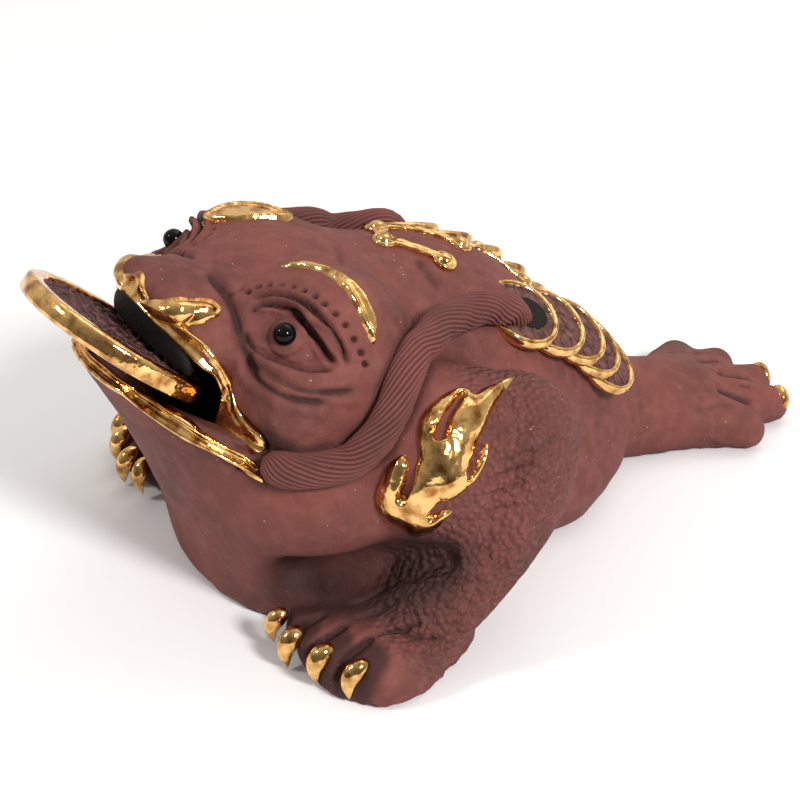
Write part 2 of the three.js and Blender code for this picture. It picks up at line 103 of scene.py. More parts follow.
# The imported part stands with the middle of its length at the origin
SHIFT = 1000 * (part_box("mouth_coin")[0][1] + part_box("mouth_coin")[1][1]) / 2 - COIN.origin[1]


def place(points):
    """Drawn millimetres as metres in the frame."""
    return (np.asarray(points, float) + (0, SHIFT, 0)) * MM


def smooth_line(points, per_step, closed=False):
    """A smooth line through points of any dimension."""
    p = np.asarray(points, float)
    if closed:
        p = np.concatenate([p[-1:], p, p[:2]])
    else:
        p = np.concatenate([2 * p[:1] - p[1:2], p, 2 * p[-1:] - p[-2:-1]])
    t = np.linspace(0, 1, per_step, endpoint=False)[:, None]
    runs = []
    for a, b, c, d in zip(p[:-3], p[1:-2], p[2:-1], p[3:]):
        runs.append(b + 0.5 * t * (c - a) + t * t * (a - 2.5 * b + 2 * c - 0.5 * d)
                    + t ** 3 * (1.5 * (b - c) + 0.5 * (d - a)))
    if not closed:
        runs.append(p[-2:-1])
    return np.concatenate(runs)


def even_line(points, step):
    """The same line with its points a step apart."""
    p = np.asarray(points, float)
    run = np.concatenate([[0], np.cumsum(np.linalg.norm(np.diff(p, axis=0), axis=1))])
    s = np.linspace(0, run[-1], max(2, int(round(run[-1] / step)) + 1))
    return np.stack([np.interp(s, run, p[:, m]) for m in range(p.shape[1])], axis=1)


def reach(points, line):
    """Distance from each point to a line, and how far along it the nearest place is, 0 to 1."""
    line = np.asarray(line, float)
    run = np.concatenate([[0], np.cumsum(np.linalg.norm(np.diff(line, axis=0), axis=1))])
    best = np.full(len(points), 1e9)
    along = np.zeros(len(points))
    for a, b, start in zip(line[:-1], line[1:], run):
        step = b - a
        t = np.clip((points - a) @ step / max(step @ step, 1e-12), 0, 1)
        d = np.linalg.norm(points - a - t[:, None] * step, axis=1)
        nearer = d < best
        best[nearer] = d[nearer]
        along[nearer] = (start + t[nearer] * np.linalg.norm(step)) / run[-1]
    return best, along


def ramp(v, low, high):
    """A soft step from 0 at low to 1 at high."""
    t = np.clip((v - low) / (high - low), 0, 1)
    return t * t * (3 - 2 * t)


def rough(points, size, seed):
    """Soft random swing of -1 to 1 with humps of a size in millimetres."""
    shift = Vector((seed, 1.7 * seed, -seed))
    return np.array([noise.noise(Vector(p) / size + shift) for p in np.asarray(points)])


# The figure's free form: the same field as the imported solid's, drawn finer

def blend(a, b, k):
    """The nearer of two forms, with a fillet."""
    h = np.clip(0.5 + 0.5 * (b - a) / k, 0, 1)
    return b + (a - b) * h - k * h * (1 - h)


def carve(a, b, k):
    """The overlap of two forms, with a softened edge."""
    return -blend(-a, -b, k)


def ovoid(p, centre, radii, lean=0.0):
    """An egg that leans in the YZ plane."""
    c, s = math.cos(math.radians(lean)), math.sin(math.radians(lean))
    q = p - centre
    q = np.stack([q[:, 0], c * q[:, 1] + s * q[:, 2], c * q[:, 2] - s * q[:, 1]], axis=1) / radii
    k0 = np.linalg.norm(q, axis=1)
    return k0 * (k0 - 1) / (np.linalg.norm(q / radii, axis=1) + 1e-9)


def limb(p, a, b, ra, rb):
    """A round bar with a radius at each end."""
    a, b = np.array(a, float), np.array(b, float)
    t = np.clip((p - a) @ (b - a) / ((b - a) @ (b - a)), 0, 1)
    return np.linalg.norm(p - a - t[:, None] * (b - a), axis=1) - ra - (rb - ra) * t


# Front toes as (root, tip). Hind toes end on rays from the ankle, given as (turn in degrees, length).
TOES = [((34 + 4 * i, -41.5 - 0.5 * i * (1 - i), 4.5), (30 + 5.7 * i, -46 - 1.1 * i * (1.7 - i), 4))
        for i in range(4)]
ANKLE = 44
REAR_TOES = [(length * math.sin(math.radians(turn)), ANKLE + length * math.cos(math.radians(turn)), 3.5)
             for turn, length in ((-35, 28), (-18, 29.7), (1, 30.3), (19, 29), (42, 22.5))]


# How far in front of the middle the breast starts to round, and how steeply the jaws open
BREAST = 43.3
UPPER_JAW, LOWER_JAW = 13.2 / 45, 16 / 45


def folded(points):
    """Points with the right half of the figure mirrored onto the left."""
    p = points.copy()
    p[:, 0] = np.abs(p[:, 0])
    return p


def trunk(p):
    """Trunk, throat and chest."""
    z = p[:, 2]
    # Belly, rump, flanks, nape and the beds under the strings of coins
    body = ovoid(p, (0, -10, 24.5), (28, 38, 27), -20)
    body = blend(body, ovoid(p, (0, 14, 17), (15, 30, 17), -20), 8)
    body = blend(body, ovoid(p, (9, 9, 8), (16, 23, 12.5)), 6)
    body = blend(body, ovoid(p, (0, -10, 37), (19, 25, 18.5), -20), 6)
    body = blend(body, limb(p, (12.2, 2.9, 38), (9.4, 23.4, 21.6), 5, 5), 2)
    # The breast rounds forward to a keel and narrows towards the ground; the lower jaw ends it
    zc = np.maximum(z, -3)
    keel = -52.2 - 2 * (1 - np.exp(-zc / 9)) - 0.108 * np.maximum(zc - 7, 0) ** 1.35
    depth = -BREAST - keel
    half = 29.4 * (1 - 0.29 * np.exp(-zc / 10))
    chest = np.hypot(p[:, 0] / half, np.minimum(p[:, 1] + BREAST, 0) / depth) - 1
    chest = carve(chest * np.minimum(depth, half) * 0.9, p[:, 1] + 26, 8)
    chest = carve(chest, z - 49, 3)
    chest = carve(chest, -np.maximum(-MOUTH.of(p)[:, 1], p[:, 1] + 49.5), 2)
    # Shoulders, and the flesh between breast and arms
    chest = blend(chest, ovoid(p, (22, -33, 26), (15, 17, 12)), 6)
    chest = blend(chest, ovoid(p, (20, -24, 6), (15, 20, 12)), 5)
    return blend(body, chest, 6)


def skin(points):
    """Distance to the figure's skin, its mouth shut."""
    p = folded(points)
    # Skull, cheeks, brow ridges and snout, on the trunk
    head = ovoid(p, (0, -33, 44), (26, 22, 17), -4)
    head = blend(head, ovoid(p, (18.5, -35.5, 44), (11, 16, 13)), 5)
    head = blend(head, ovoid(p, (16, -33, 51.5), (10.5, 11, 8)), 5)
    head = blend(head, ovoid(p, (0, -47, 52), (15, 14.5, 7)), 5)
    head = blend(head, ovoid(p, (0, -53, 51.5), (17, 7.4, 5.6)), 2)
    head = blend(head, ovoid(p, (0, -53, 53.2), (11.6, 7.6, 8.2)), 2)
    head = blend(head, ovoid(p, (0, -56.3, 57), (10.4, 4.4, 4.6)), 1)
    d = blend(trunk(p), head, 4)
    # Eye socket and eyeball
    e = EYE.of(p)
    d = carve(d, -ovoid(e, (0, -0.4, 0.6), (9, 4.4, 2.6)), 1)
    d = blend(d, np.linalg.norm(e - (-0.6, 0, -5.0), axis=1) - 5.6, 0.8)
    # Arm, hand and toes, with the hollow under the chest and the inner side of the heel
    arm = limb(p, (31, -20, 31.5), (36, -10, 33.5), 16, 11.5)
    arm = blend(arm, limb(p, (39, -9, 26), (41, -27, 10), 9, 8.5), 6)
    arm = blend(arm, ovoid(p, (40, -34.5, 1.5), (12.3, 15, 9.2)), 4)
    arm = blend(arm, limb(p, (42, -32, 3), (47.5, -40.5, 1.5), 6, 3.2), 3)
    for root, tip in TOES:
        arm = blend(arm, limb(p, root, tip, 4.4, 3.6), 2)
    d = blend(d, arm, 4)
    d = carve(d, -limb(p, (27.5, -44.5, 12.6), (43.6, -27.5, 19.6), 4.8, 2.0), 3)
    heel = (p - (46.5, -26.5, 0)) @ unit((0.88, 0.47, 0)) - 9 * ramp(p[:, 2], 3, 14)
    d = carve(d, heel, 3)
    # The single hind leg, and the bed under the right string of coins
    leg = limb(points, (0, 26, 10), (0, 52, 5), 9, 8)
    for tip in REAR_TOES:
        leg = blend(leg, limb(points, (0, ANKLE, 5), tip, 7.5, 3.8), 5)
    d = blend(d, leg, 6)
    return blend(d, limb(points, (-10.5, -2.4, 45.4), (-10, 20.4, 28), 4.6, 4.6), 2)


# The lower lip's gold lies between two rails, given from the middle of the mouth to its left corner
LOWER_LIP = (
    ((0, -69.4, 46.4), (6.2, -68.6, 46), (10, -67.4, 45.6), (12.7, -66, 44.5), (16, -63.6, 42.5),
     (19, -61, 40.6), (21.8, -58.2, 38.8), (24.1, -55.2, 36.4), (25.9, -52.5, 33.8), (26.9, -51.3, 33.2)),
    ((0, -67.7, 47.4), (5, -67.2, 47.2), (9.5, -66, 46.8), (12.6, -64.9, 46.2), (15.3, -63.4, 45.2),
     (18.9, -60.8, 43.3), (21, -58.6, 41.1), (22.8, -55.9, 39), (23.9, -53.1, 36.6), (24.8, -51.6, 35.6)),
)
LIP_CHANNEL = np.mean(LOWER_LIP, axis=0) + (0, 0.5, 1.5)


def figure(points):
    """Distance to the clay body: the skin with its mouth open and its underside flat."""
    d = carve(skin(points), -points[:, 2], 0.7)
    # The mouth is a wedge before a hollow, with a mound on its floor
    m = MOUTH.of(points)
    m[:, 2] = np.abs(m[:, 2])
    slope = np.where(m[:, 1] > 0, UPPER_JAW, LOWER_JAW)
    wedge = (np.abs(m[:, 1]) - 0.5 - slope * (m[:, 0] + 1)) / np.hypot(1, slope)
    wedge = np.maximum(wedge, -1 - m[:, 0])
    hollow = np.minimum(wedge, ovoid(m, (3, 0, 0), (24, 6.5, 18)))
    d = carve(d, -hollow, 0.8)
    d = blend(d, ovoid(m, (9, -5.5, 0), (11.5, 4.4, 9)), 1)
    # A channel inside the lower lip, and the coin's seat
    near = (points[:, 1] < -47) & (points[:, 2] > 28) & (points[:, 2] < 54)
    d[near] = carve(d[near], 1.6 - reach(folded(points[near]), LIP_CHANNEL)[0], 0.5)
    c = COIN.of(points)
    seat = np.maximum(np.hypot(c[:, 0], c[:, 1]) - COIN_RADIUS - CLEARANCE,
                      np.abs(c[:, 2]) - COIN_THICKNESS / 2 - CLEARANCE)
    return carve(d, -seat, 0.3)


def slope_of(field, points):
    """Which way is out of a field at each point, not of length one."""
    e = 0.04
    corners = np.array(((1, 1, 1), (1, -1, -1), (-1, 1, -1), (-1, -1, 1)), float)
    return sum(field(points + e * c)[:, None] * c for c in corners) / (4 * e)


def drawn_on(field, points, steps=4):
    """Points moved onto a field's zero surface."""
    out = slope_of(field, points)
    scale = np.maximum((out * out).sum(axis=1), 0.3)
    for _ in range(steps):
        points = points - np.clip(field(points) / scale, -0.8, 0.8)[:, None] * out
    return points


def net(field, low, high, step):
    """Triangles of a field's zero surface: a vertex in each mixed cell, a quad on each crossed edge."""
    axes = [np.arange(a, b + step, step) for a, b in zip(low, high)]
    grid = np.stack(np.meshgrid(*axes, indexing="ij"), axis=-1)
    value = np.concatenate([field(slab.reshape(-1, 3)).reshape(slab.shape[:2]) for slab in grid])
    value = value.reshape(grid.shape[:3])
    n = np.array(value.shape)
    corner = {}
    for c in np.ndindex(2, 2, 2):
        corner[c] = value[tuple(slice(i, n[m] - 1 + i) for m, i in enumerate(c))]
    inside = sum((v < 0).astype(int) for v in corner.values())
    cells = np.argwhere((inside > 0) & (inside < 8))
    number = np.full(n - 1, -1)
    number[tuple(cells.T)] = np.arange(len(cells))
    total, count = np.zeros((len(cells), 3)), np.zeros(len(cells))
    for a in corner:
        for m in range(3):
            if a[m]:
                continue
            b = tuple(1 if k == m else a[k] for k in range(3))
            va, vb = corner[a][tuple(cells.T)], corner[b][tuple(cells.T)]
            crossed = (va < 0) != (vb < 0)
            t = va[crossed] / (va[crossed] - vb[crossed])
            total[crossed] += np.array(a) + t[:, None] * (np.array(b) - a)
            count[crossed] += 1
    points = (cells + total / count[:, None]) * step + np.array([axis[0] for axis in axes])
    faces = []
    for m in range(3):
        u, w = (m + 1) % 3, (m + 2) % 3
        near = value[tuple(slice(1, -1) if k != m else slice(0, -1) for k in range(3))] < 0
        far = value[tuple(slice(1, -1) if k != m else slice(1, None) for k in range(3))] < 0
        at = np.argwhere(near != far)
        flip = ~near[tuple(at.T)]
        at[:, u] += 1
        at[:, w] += 1
        quad = []
        for du, dw in ((1, 1), (0, 1), (0, 0), (1, 0)):
            cell = at.copy()
            cell[:, u] -= du
            cell[:, w] -= dw
            quad.append(number[tuple(cell.T)])
        quad = np.stack(quad, axis=1)
        quad[flip] = quad[flip][:, ::-1]
        faces.append(quad)
    quads = np.concatenate(faces)
    return points, np.concatenate([quads[:, [0, 1, 2]], quads[:, [0, 2, 3]]])


def sides_of(faces):
    """The edges of triangles, and which three each triangle has."""
    pairs = np.sort(np.concatenate([faces[:, [0, 1]], faces[:, [1, 2]], faces[:, [2, 0]]]), axis=1)
    edges, which = np.unique(pairs, axis=0, return_inverse=True)
    return edges, which.reshape(3, -1).T


def split_long(points, faces, longest):
    """Triangles with each edge cut in two that is longer than its place allows."""
    edges, which = sides_of(faces)
    a, b = points[edges[:, 0]], points[edges[:, 1]]
    cut = np.linalg.norm(a - b, axis=1) > longest((a + b) / 2)
    middle = np.full(len(edges), -1)
    middle[cut] = len(points) + np.arange(cut.sum())
    points = np.concatenate([points, ((a + b) / 2)[cut]])
    mids = middle[which]
    marked = mids >= 0
    kept = [faces[marked.sum(axis=1) == 0]]
    full = marked.sum(axis=1) == 3
    f, m = faces[full], mids[full]
    for trio in ((f[:, 0], m[:, 0], m[:, 2]), (f[:, 1], m[:, 1], m[:, 0]),
                 (f[:, 2], m[:, 2], m[:, 1]), (m[:, 0], m[:, 1], m[:, 2])):
        kept.append(np.stack(trio, axis=1))
    for turn in range(3):
        f0, f1, f2 = np.roll(faces, -turn, axis=1).T
        m0, m1, m2 = np.roll(mids, -turn, axis=1).T
        one = (m0 >= 0) & (m1 < 0) & (m2 < 0)
        two = (m0 >= 0) & (m1 >= 0) & (m2 < 0)
        for some, corners in ((one, (m0, f1, f2)), (one, (f0, m0, f2)), (two, (m0, f1, m1)),
                              (two, (f0, m0, m1)), (two, (f0, m1, f2))):
            kept.append(np.stack([c[some] for c in corners], axis=1))
    return points, np.concatenate(kept)


def relaxed(points, faces, field, rounds):
    """Points evened out along the surface."""
    edges, _ = sides_of(faces)
    ends = np.concatenate([edges, edges[:, ::-1]])
    count = np.bincount(ends[:, 0], minlength=len(points))[:, None]
    for _ in range(rounds):
        mean = np.stack([np.bincount(ends[:, 0], points[ends[:, 1], m], len(points))
                         for m in range(3)], axis=1) / np.maximum(count, 1)
        out = unit(slope_of(field, points) + 1e-12)
        move = mean - points
        move -= (move * out).sum(axis=1, keepdims=True) * out
        points = drawn_on(field, points + 0.5 * move, 2)
    return points


# What the modelling tool drew in the skin, each line as (points, width, depth). Lines round the eye are
# flat, in the eye's own frame.

EYE_LINES = (
    (((-8, 0.6), (-7.5, 2.8), (-5.1, 3.9), (-1.8, 4), (1.6, 2.9), (4.3, 1.4), (6.3, 0.1),
      (8.6, -1.1)), 0.45, 1.45),
    (((-10.1, 2.9), (-6, 5.4), (-1.8, 6.1), (2, 5.2), (5, 3.8), (7.6, 2.1), (11.2, -0.6)), 0.45, 1.3),
    (((-7.4, -0.8), (-6.5, -2.8), (-4, -4.1), (-0.6, -4.4), (2.5, -4.1), (4.9, -3.6), (8.8, -1.6)),
     0.48, 1.0),
    (((-5.8, -5.4), (-2.7, -8), (0.6, -9.1), (3.5, -9.2), (5.9, -8.9), (8.6, -7.8), (10.7, -6.6)),
     0.6, 1.0),
    (((-6.4, -3.4), (-3.6, -6.2), (0.4, -7.2), (4.2, -7.4), (7.3, -6.7), (10.2, -5.2), (12.4, -3.6),
      (13.5, -2.1)), 0.55, 0.85),
    (((-19.5, 5.8), (-12.8, 2.1), (-8.6, -1.9), (-5.6, -5.5), (-0.6, -9)), 0.7, 0.9),
    (((-13.3, 2.5), (-11.3, 4.9)), 0.45, 0.5),
)
EYE_PITS = ((-10.3, 4.5), (-9.3, 6), (-7.9, 6.9), (-6.1, 7.6), (-4, 7.95), (-1.8, 8), (0.4, 7.8),
            (2.5, 7.2), (4.9, 6.4), (7.2, 5.4), (9.4, 4), (11.2, 2.7), (12.5, 1.5))
# The roll beside a line as a share of its depth, and the depth and the radius of a pit
ROLL, PIT_DEPTH, PIT_RADIUS = 0.34, 0.95, 0.5
# The ring pressed round the bead: its radius, and its width and depth
RING_RADIUS, RING_WIDTH = 3.5, 0.35
# Scales of the forearm that are large enough to model: how far apart, how high and how deep between
SCALE_PITCH, SCALE_HEIGHT, SCALE_GAP = 1.9, 0.26, 0.16


def pressed(points):
    """How far the tool raised the skin at each point, less than 0 where it pressed it in."""
    p = folded(points)
    push = np.zeros(len(p))

    # Grooves round the eye, each with a low roll beside it, then the pits along the lid and the ring
    e = EYE.of(p)
    near = (np.abs(e[:, 2]) < 8) & (np.hypot(e[:, 0], e[:, 1]) < 21)
    flat = e[near, :2]
    local = np.zeros(len(flat))
    for line, width, depth in EYE_LINES:
        d, t = reach(flat, smooth_line(line, 5))
        fade = ramp(t, 0, 0.14) * ramp(1 - t, 0, 0.14)
        local -= depth * fade * np.exp(-(d / width) ** 2)
        local += ROLL * depth * fade * np.exp(-((d - 2.4 * width) / (1.2 * width)) ** 2)
    for pit in EYE_PITS:
        local -= PIT_DEPTH * np.exp(-(np.hypot(*(flat - pit).T) / PIT_RADIUS) ** 4)
    ring = np.hypot(flat[:, 0] + 0.6, flat[:, 1])
    local -= RING_WIDTH * np.exp(-((ring - RING_RADIUS) / RING_WIDTH) ** 2)
    push[near] += local

    # Creases of the neck, wrinkles behind the flame, folds of the wrist and gaps between the toes
    for line, width, depth in CREASES:
        line = drawn_on(skin, smooth_line(line, 5))
        box = (p > line.min(axis=0) - 4).all(axis=1) & (p < line.max(axis=0) + 4).all(axis=1)
        d, t = reach(p[box], line)
        fade = ramp(t, 0, 0.2) * ramp(1 - t, 0, 0.2)
        push[box] -= depth * fade * np.exp(-(d / width) ** 2)

    # Each scale stands up where its cell's wall is far off
    scaly = modelled_scales(p)
    some = scaly > 0.02
    walls = np.array([noise.voronoi(Vector(q) / SCALE_PITCH)[0][:2] for q in p[some]])
    edge = ramp(walls[:, 1] - walls[:, 0], 0, 0.3)
    push[some] += scaly[some] * (SCALE_HEIGHT * edge - SCALE_GAP)

    # The maker's hand: soft humps and smaller dabs
    push += 0.28 * rough(p, 8.5, 3) + 0.1 * rough(p, 3.4, 9)
    return push


def modelled_scales(p):
    """Where the arm has scales large enough to model, 0 to 1."""
    d, _ = reach(p, ((40, -4, 36), (46, -10, 31), (50, -14, 22), (49, -24, 16), (47, -31, 11)))
    return 1 - ramp(d, 5, 9)


def fine_scales(points):
    """Where the arm is pebbled, 0 to 1."""
    p = folded(points)
    d, _ = reach(p, ((34, -4, 38), (44, -14, 34), (48, -12, 22), (46, -26, 12)))
    return (1 - ramp(d, 11, 17)) * ramp(p[:, 0], 27, 32)


CREASES = (
    # Behind the flame
    (((45.5, -18.8, 35.8), (46.3, -13.3, 37.5), (45.5, -7.1, 37.5)), 0.38, 0.5),
    (((45.7, -20.4, 33.8), (46.2, -16, 34.9), (47, -11.2, 35.9)), 0.38, 0.55),
    (((45.9, -21.1, 30.9), (46.5, -17.1, 31.8), (47.5, -13.5, 32.5)), 0.36, 0.5),
    (((46, -21.6, 28.2), (46.6, -18.9, 28.4), (47.3, -15.5, 28.7)), 0.36, 0.45),
    # Over the head and the neck
    (((1, -25.2, 59.7), (6.4, -25.9, 59.4), (13, -28.2, 59.7)), 0.9, 0.4),
    (((6.5, -10.8, 55.4), (10.6, -10.8, 53.8), (14.4, -9.6, 50.6)), 1.2, 0.45),
    # Between the hind toes and along the hind foot
    (((4.7, 70.6, 6.5), (3.8, 65.7, 8), (3, 60.8, 9)), 0.9, 1.1),
    (((11.5, 65.2, 6), (9.1, 60.8, 7.8), (7.2, 57.2, 9)), 0.9, 1.1),
    (((8.4, 67.4, 8), (7.2, 64.4, 8.6)), 0.45, 1.0),
    (((12.6, 60, 7), (10.8, 54, 7.6), (10.6, 46, 8.6)), 0.7, 0.4),
    (((1, 66, 8.6), (2.2, 63, 9), (1.6, 60.5, 9.4)), 0.5, 0.9),
    (((15, 60.5, 2.6), (13, 55.6, 2.8), (11, 49, 3.4)), 0.5, 0.4),
    # Round the wrist and over the back of the hand
    (((36, -33, 11.6), (40, -30, 12.8), (44, -30.4, 12)), 0.5, 0.7),
    (((44.5, -37, 9), (47.6, -34.6, 9), (49.6, -31, 9)), 0.5, 0.6),
    (((33, -41, 9.8), (35, -36, 11.5), (38, -31, 13)), 0.5, 0.8),
    (((38, -42, 9.2), (40, -37, 11), (42, -32, 12)), 0.5, 0.8),
    (((43, -41, 8.6), (45, -36.5, 9.8), (46.5, -32, 11)), 0.5, 0.8),
    # Between the front toes
    (((31.6, -50.4, 2), (31.8, -49, 6.5), (33, -43.5, 9.8)), 0.8, 1.9),
    (((37.2, -50, 2), (37.6, -48.2, 6.5), (38.6, -42, 9.8)), 0.8, 1.9),
    (((43.6, -47.5, 2), (43.6, -46, 6.5), (43.6, -40, 9.6)), 0.8, 1.8),
)


# Claws of the left front foot
CLAW_ROOTS = ((28.2, -48.6, 8.2), (33.4, -48.6, 7.8), (40.6, -46.8, 8.2), (46.8, -43.8, 7.9))
CLAW_TIPS = ((27, -50.7, 1.3), (33.6, -51.6, 0.6), (40.4, -49.8, 1), (46.6, -47.2, 1))
CLAW_WIDTHS = (3.2, 3.6, 3.8, 3.5)

# The left rope from the mouth's corner to its coins. The right one is its mirror image for nine points
# and then ends nearer to the spine.
ROPE_PATH = ((27.4, -51.5, 38.1), (29.6, -49.3, 36.3), (31.2, -45.4, 35.8),
             (33.2, -39.8, 36.4), (34.2, -34.8, 40), (33.6, -31.4, 44), (31.2, -27.6, 47.8),
             (27.4, -22.4, 50.2), (23.4, -15.4, 50.8), (20.6, -9.4, 49.9), (18.9, -4.6, 48.9),
             (17.6, -0.6, 47.4), (16.6, 2, 45.8), (15.9, 3.6, 44), (15.5, 4.2, 42.2))
RIGHT_ROPE_END = ((21.5, -12.6, 49.6), (18.6, -9.6, 50.6), (16, -7.2, 51.2), (14, -5, 51.2),
                  (13.2, -3.9, 50.3), (13, -3.2, 48.7))


def shadow_lines():
    """Lines along which shade is painted on the skin: (line, how far it is full, how far it reaches, how
    dark).
    """
    under_chest = ((27.5, -45, 11), (36, -38, 14), (42, -29, 18))
    mouth_corner = ((26.4, -51.3, 37.8), (28, -50, 37))
    lines = [(under_chest, 3.5, 10, 1.0), (ROPE_PATH, 3.2, 4.4, 0.75), (mouth_corner, 3.6, 5.8, 1.0)]
    return lines + [((root, tip), 2.5, 4.6, 0.95) for root, tip in zip(CLAW_ROOTS, CLAW_TIPS)]


def target_length(points):
    """The longest edge that the skin's mesh may have at a place."""
    p = folded(points)
    x, y, z = p.T
    size = np.full(len(p), 2.1)
    # Hind leg and its foot
    size[(y > 30) & (z > 0.8)] = 1.5
    size[(y > 48) & (z > 2)] = 0.9
    # Head, arms, forearms with the hands, and round the eyes
    head = np.linalg.norm((p - (0, -44, 47)) / (1.0, 0.95, 0.75), axis=1) < 29
    size[head & (z > 27)] = 0.95
    size[(x > 27) & (y < 6) & (z > 1)] = 0.95
    size[(x > 30) & (y < -10) & (y > -52) & (z > 1) & (z < 36)] = 0.72
    e = EYE.of(p)
    size[(np.hypot(e[:, 0] - 1, e[:, 1]) < 14.5) & (np.abs(e[:, 2]) < 7)] = 0.52
    return size


# Meshes

def piece(name, form, material, node=None, layers=None):
    """An object from a form of drawn points and faces, with numbers stored on its points."""
    points, faces = form
    mesh = bpy.data.meshes.new(name)
    mesh.from_pydata(place(points).tolist(), [], [list(map(int, f)) for f in faces])
    for label, values in (layers or {}).items():
        attribute = mesh.attributes.new(label, "FLOAT", "POINT")
        attribute.data.foreach_set("value", np.asarray(values, np.float32))
    settled(name, mesh, material, node)


def settled(name, mesh, material, node=None):
    """Puts a finished mesh on the toad."""
    mesh.shade_smooth()
    mesh.materials.clear()
    mesh.materials.append(material)
    mesh.update()
    thing = bpy.data.objects.new(name, mesh)
    bpy.context.scene.collection.objects.link(thing)
    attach(thing, "root")
    if node:
        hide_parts(node)


def gilded(name, *forms):
    """One or more forms as a piece of fired gold."""
    piece(name, joined(forms), finish("gold"))


def mirrored(points, faces):
    """A form and its mirror image on the other side."""
    faces = [list(f) for f in faces]
    other = [[i + len(points) for i in reversed(f)] for f in faces]
    return np.concatenate([points, points * (-1, 1, 1)]), faces + other


def joined(forms):
    """Several forms as one list of points and one of faces."""
    points, faces, start = [], [], 0
    for p, f in forms:
        points.append(p)
        faces += [[i + start for i in face] for face in f]
        start += len(p)
    return np.concatenate(points), faces


def around(count):
    """Each number below a count with the next one, and the last with the first."""
    return [(i, (i + 1) % count) for i in range(count)]


def swept(path, outs, section):
    """A closed section carried along a path. section(t) gives its points as (side, out) pairs."""
    path = np.asarray(path, float)
    along = unit(np.gradient(path, axis=0))
    side = unit(np.cross(along, outs))
    out = np.cross(side, along)
    rings = []
    for i, t in enumerate(np.linspace(0, 1, len(path))):
        s = np.asarray(section(t), float)
        rings.append(path[i] + s[:, :1] * side[i] + s[:, 1:] * out[i])
    return tube(rings)


def railed(low, high, section):
    """A closed section carried between two rails. section(t) gives its points as (share of the way
    from the low rail to the high one, millimetres out) pairs."""
    along = unit(np.gradient(low + high, axis=0))
    out = unit(np.cross(along, high - low))
    rings = []
    for i, t in enumerate(np.linspace(0, 1, len(low))):
        s = np.asarray(section(t), float)
        rings.append(low[i] + s[:, :1] * (high[i] - low[i]) + s[:, 1:] * out[i])
    return tube(rings)


def tube(rings):
    """A closed form through rings of as many points each."""
    n, k = len(rings), len(rings[0])
    faces = [[i * k + j, i * k + m, (i + 1) * k + m, (i + 1) * k + j]
             for i in range(n - 1) for j, m in around(k)]
    faces += [list(range(k))[::-1], [(n - 1) * k + j for j in range(k)]]
    return np.concatenate(rings), faces


def turned(easel, profile, sides):
    """A form turned round an easel's outward axis from (radius, height) pairs, the first in the middle."""
    a = np.linspace(0, math.tau, sides, endpoint=False)
    points = [easel.at(0, 0, profile[0][1])[None]]
    points += [easel.at(r * np.cos(a), r * np.sin(a), h) for r, h in profile[1:]]
    points.append(easel.at(0, 0, profile[-1][1])[None])
    rows, faces = len(profile) - 1, []
    for j, k in around(sides):
        faces.append([0, 1 + j, 1 + k])
        for i in range(rows - 1):
            faces.append([1 + i * sides + j, 1 + (i + 1) * sides + j, 1 + (i + 1) * sides + k,
                          1 + i * sides + k])
        faces.append([1 + rows * sides, 1 + (rows - 1) * sides + k, 1 + (rows - 1) * sides + j])
    return np.concatenate(points), faces


def inside_outline(points, outline):
    """Signed distance of flat points to a closed outline, more than 0 inside."""
    ring = np.concatenate([outline, outline[:1]])
    d, _ = reach(points, ring)
    x, y = points.T
    within = np.zeros(len(points), bool)
    for (ax, ay), (bx, by) in zip(ring[:-1], ring[1:]):
        if ay == by:
            continue
        hit = ((ay > y) != (by > y)) & (x < (bx - ax) * (y - ay) / (by - ay) + ax)
        within ^= hit
    return np.where(within, d, -d)


def lowered(points, way):
    """Points brought down onto the skin against a way, in steps of most of the height left."""
    for _ in range(40):
        points = points - 0.8 * skin(points)[:, None] * way
    return points


# How far a relief's grid runs past its outline, how steeply its edge falls, and how deep the edge and
# the underside lie in the skin
RELIEF_MARGIN, EDGE_SLOPE, EDGE_DEPTH, UNDERSIDE = 1.0, 2.2, 0.75, 1.1


def relief(easel, outline, height, step, start, wobble=0.0):
    """A raised form on the skin: height(inside, flat points) gives how far it stands off. The points
    of its grid come down to the skin from a start in front of the easel."""
    low = outline.min(axis=0) - RELIEF_MARGIN - step
    high = outline.max(axis=0) + RELIEF_MARGIN + step
    axes = [np.arange(a, b, step) for a, b in zip(low, high)]
    flat = np.stack(np.meshgrid(*axes, indexing="ij"), axis=-1)
    shape = flat.shape[:2]
    flat = flat.reshape(-1, 2)
    inner = inside_outline(flat, outline)
    if wobble:
        inner = inner + wobble * rough(np.c_[flat, np.zeros(len(flat))], 1.6, 5)
    points = lowered(easel.at(flat[:, 0], flat[:, 1], start), easel.out)
    out = unit(slope_of(skin, points))
    stand = height(inner, flat)
    stand = np.where(inner < 0, np.maximum(-EDGE_DEPTH, stand + EDGE_SLOPE * inner), stand)
    top, under = points + stand[:, None] * out, points - UNDERSIDE * out
    keep = (inner > -RELIEF_MARGIN).reshape(shape)
    whole = keep[:-1, :-1] & keep[1:, :-1] & keep[1:, 1:] & keep[:-1, 1:]
    number = np.arange(len(flat)).reshape(shape)
    quads = np.stack([number[:-1, :-1][whole], number[1:, :-1][whole],
                      number[1:, 1:][whole], number[:-1, 1:][whole]], axis=1)
    return shell(top, under, quads)


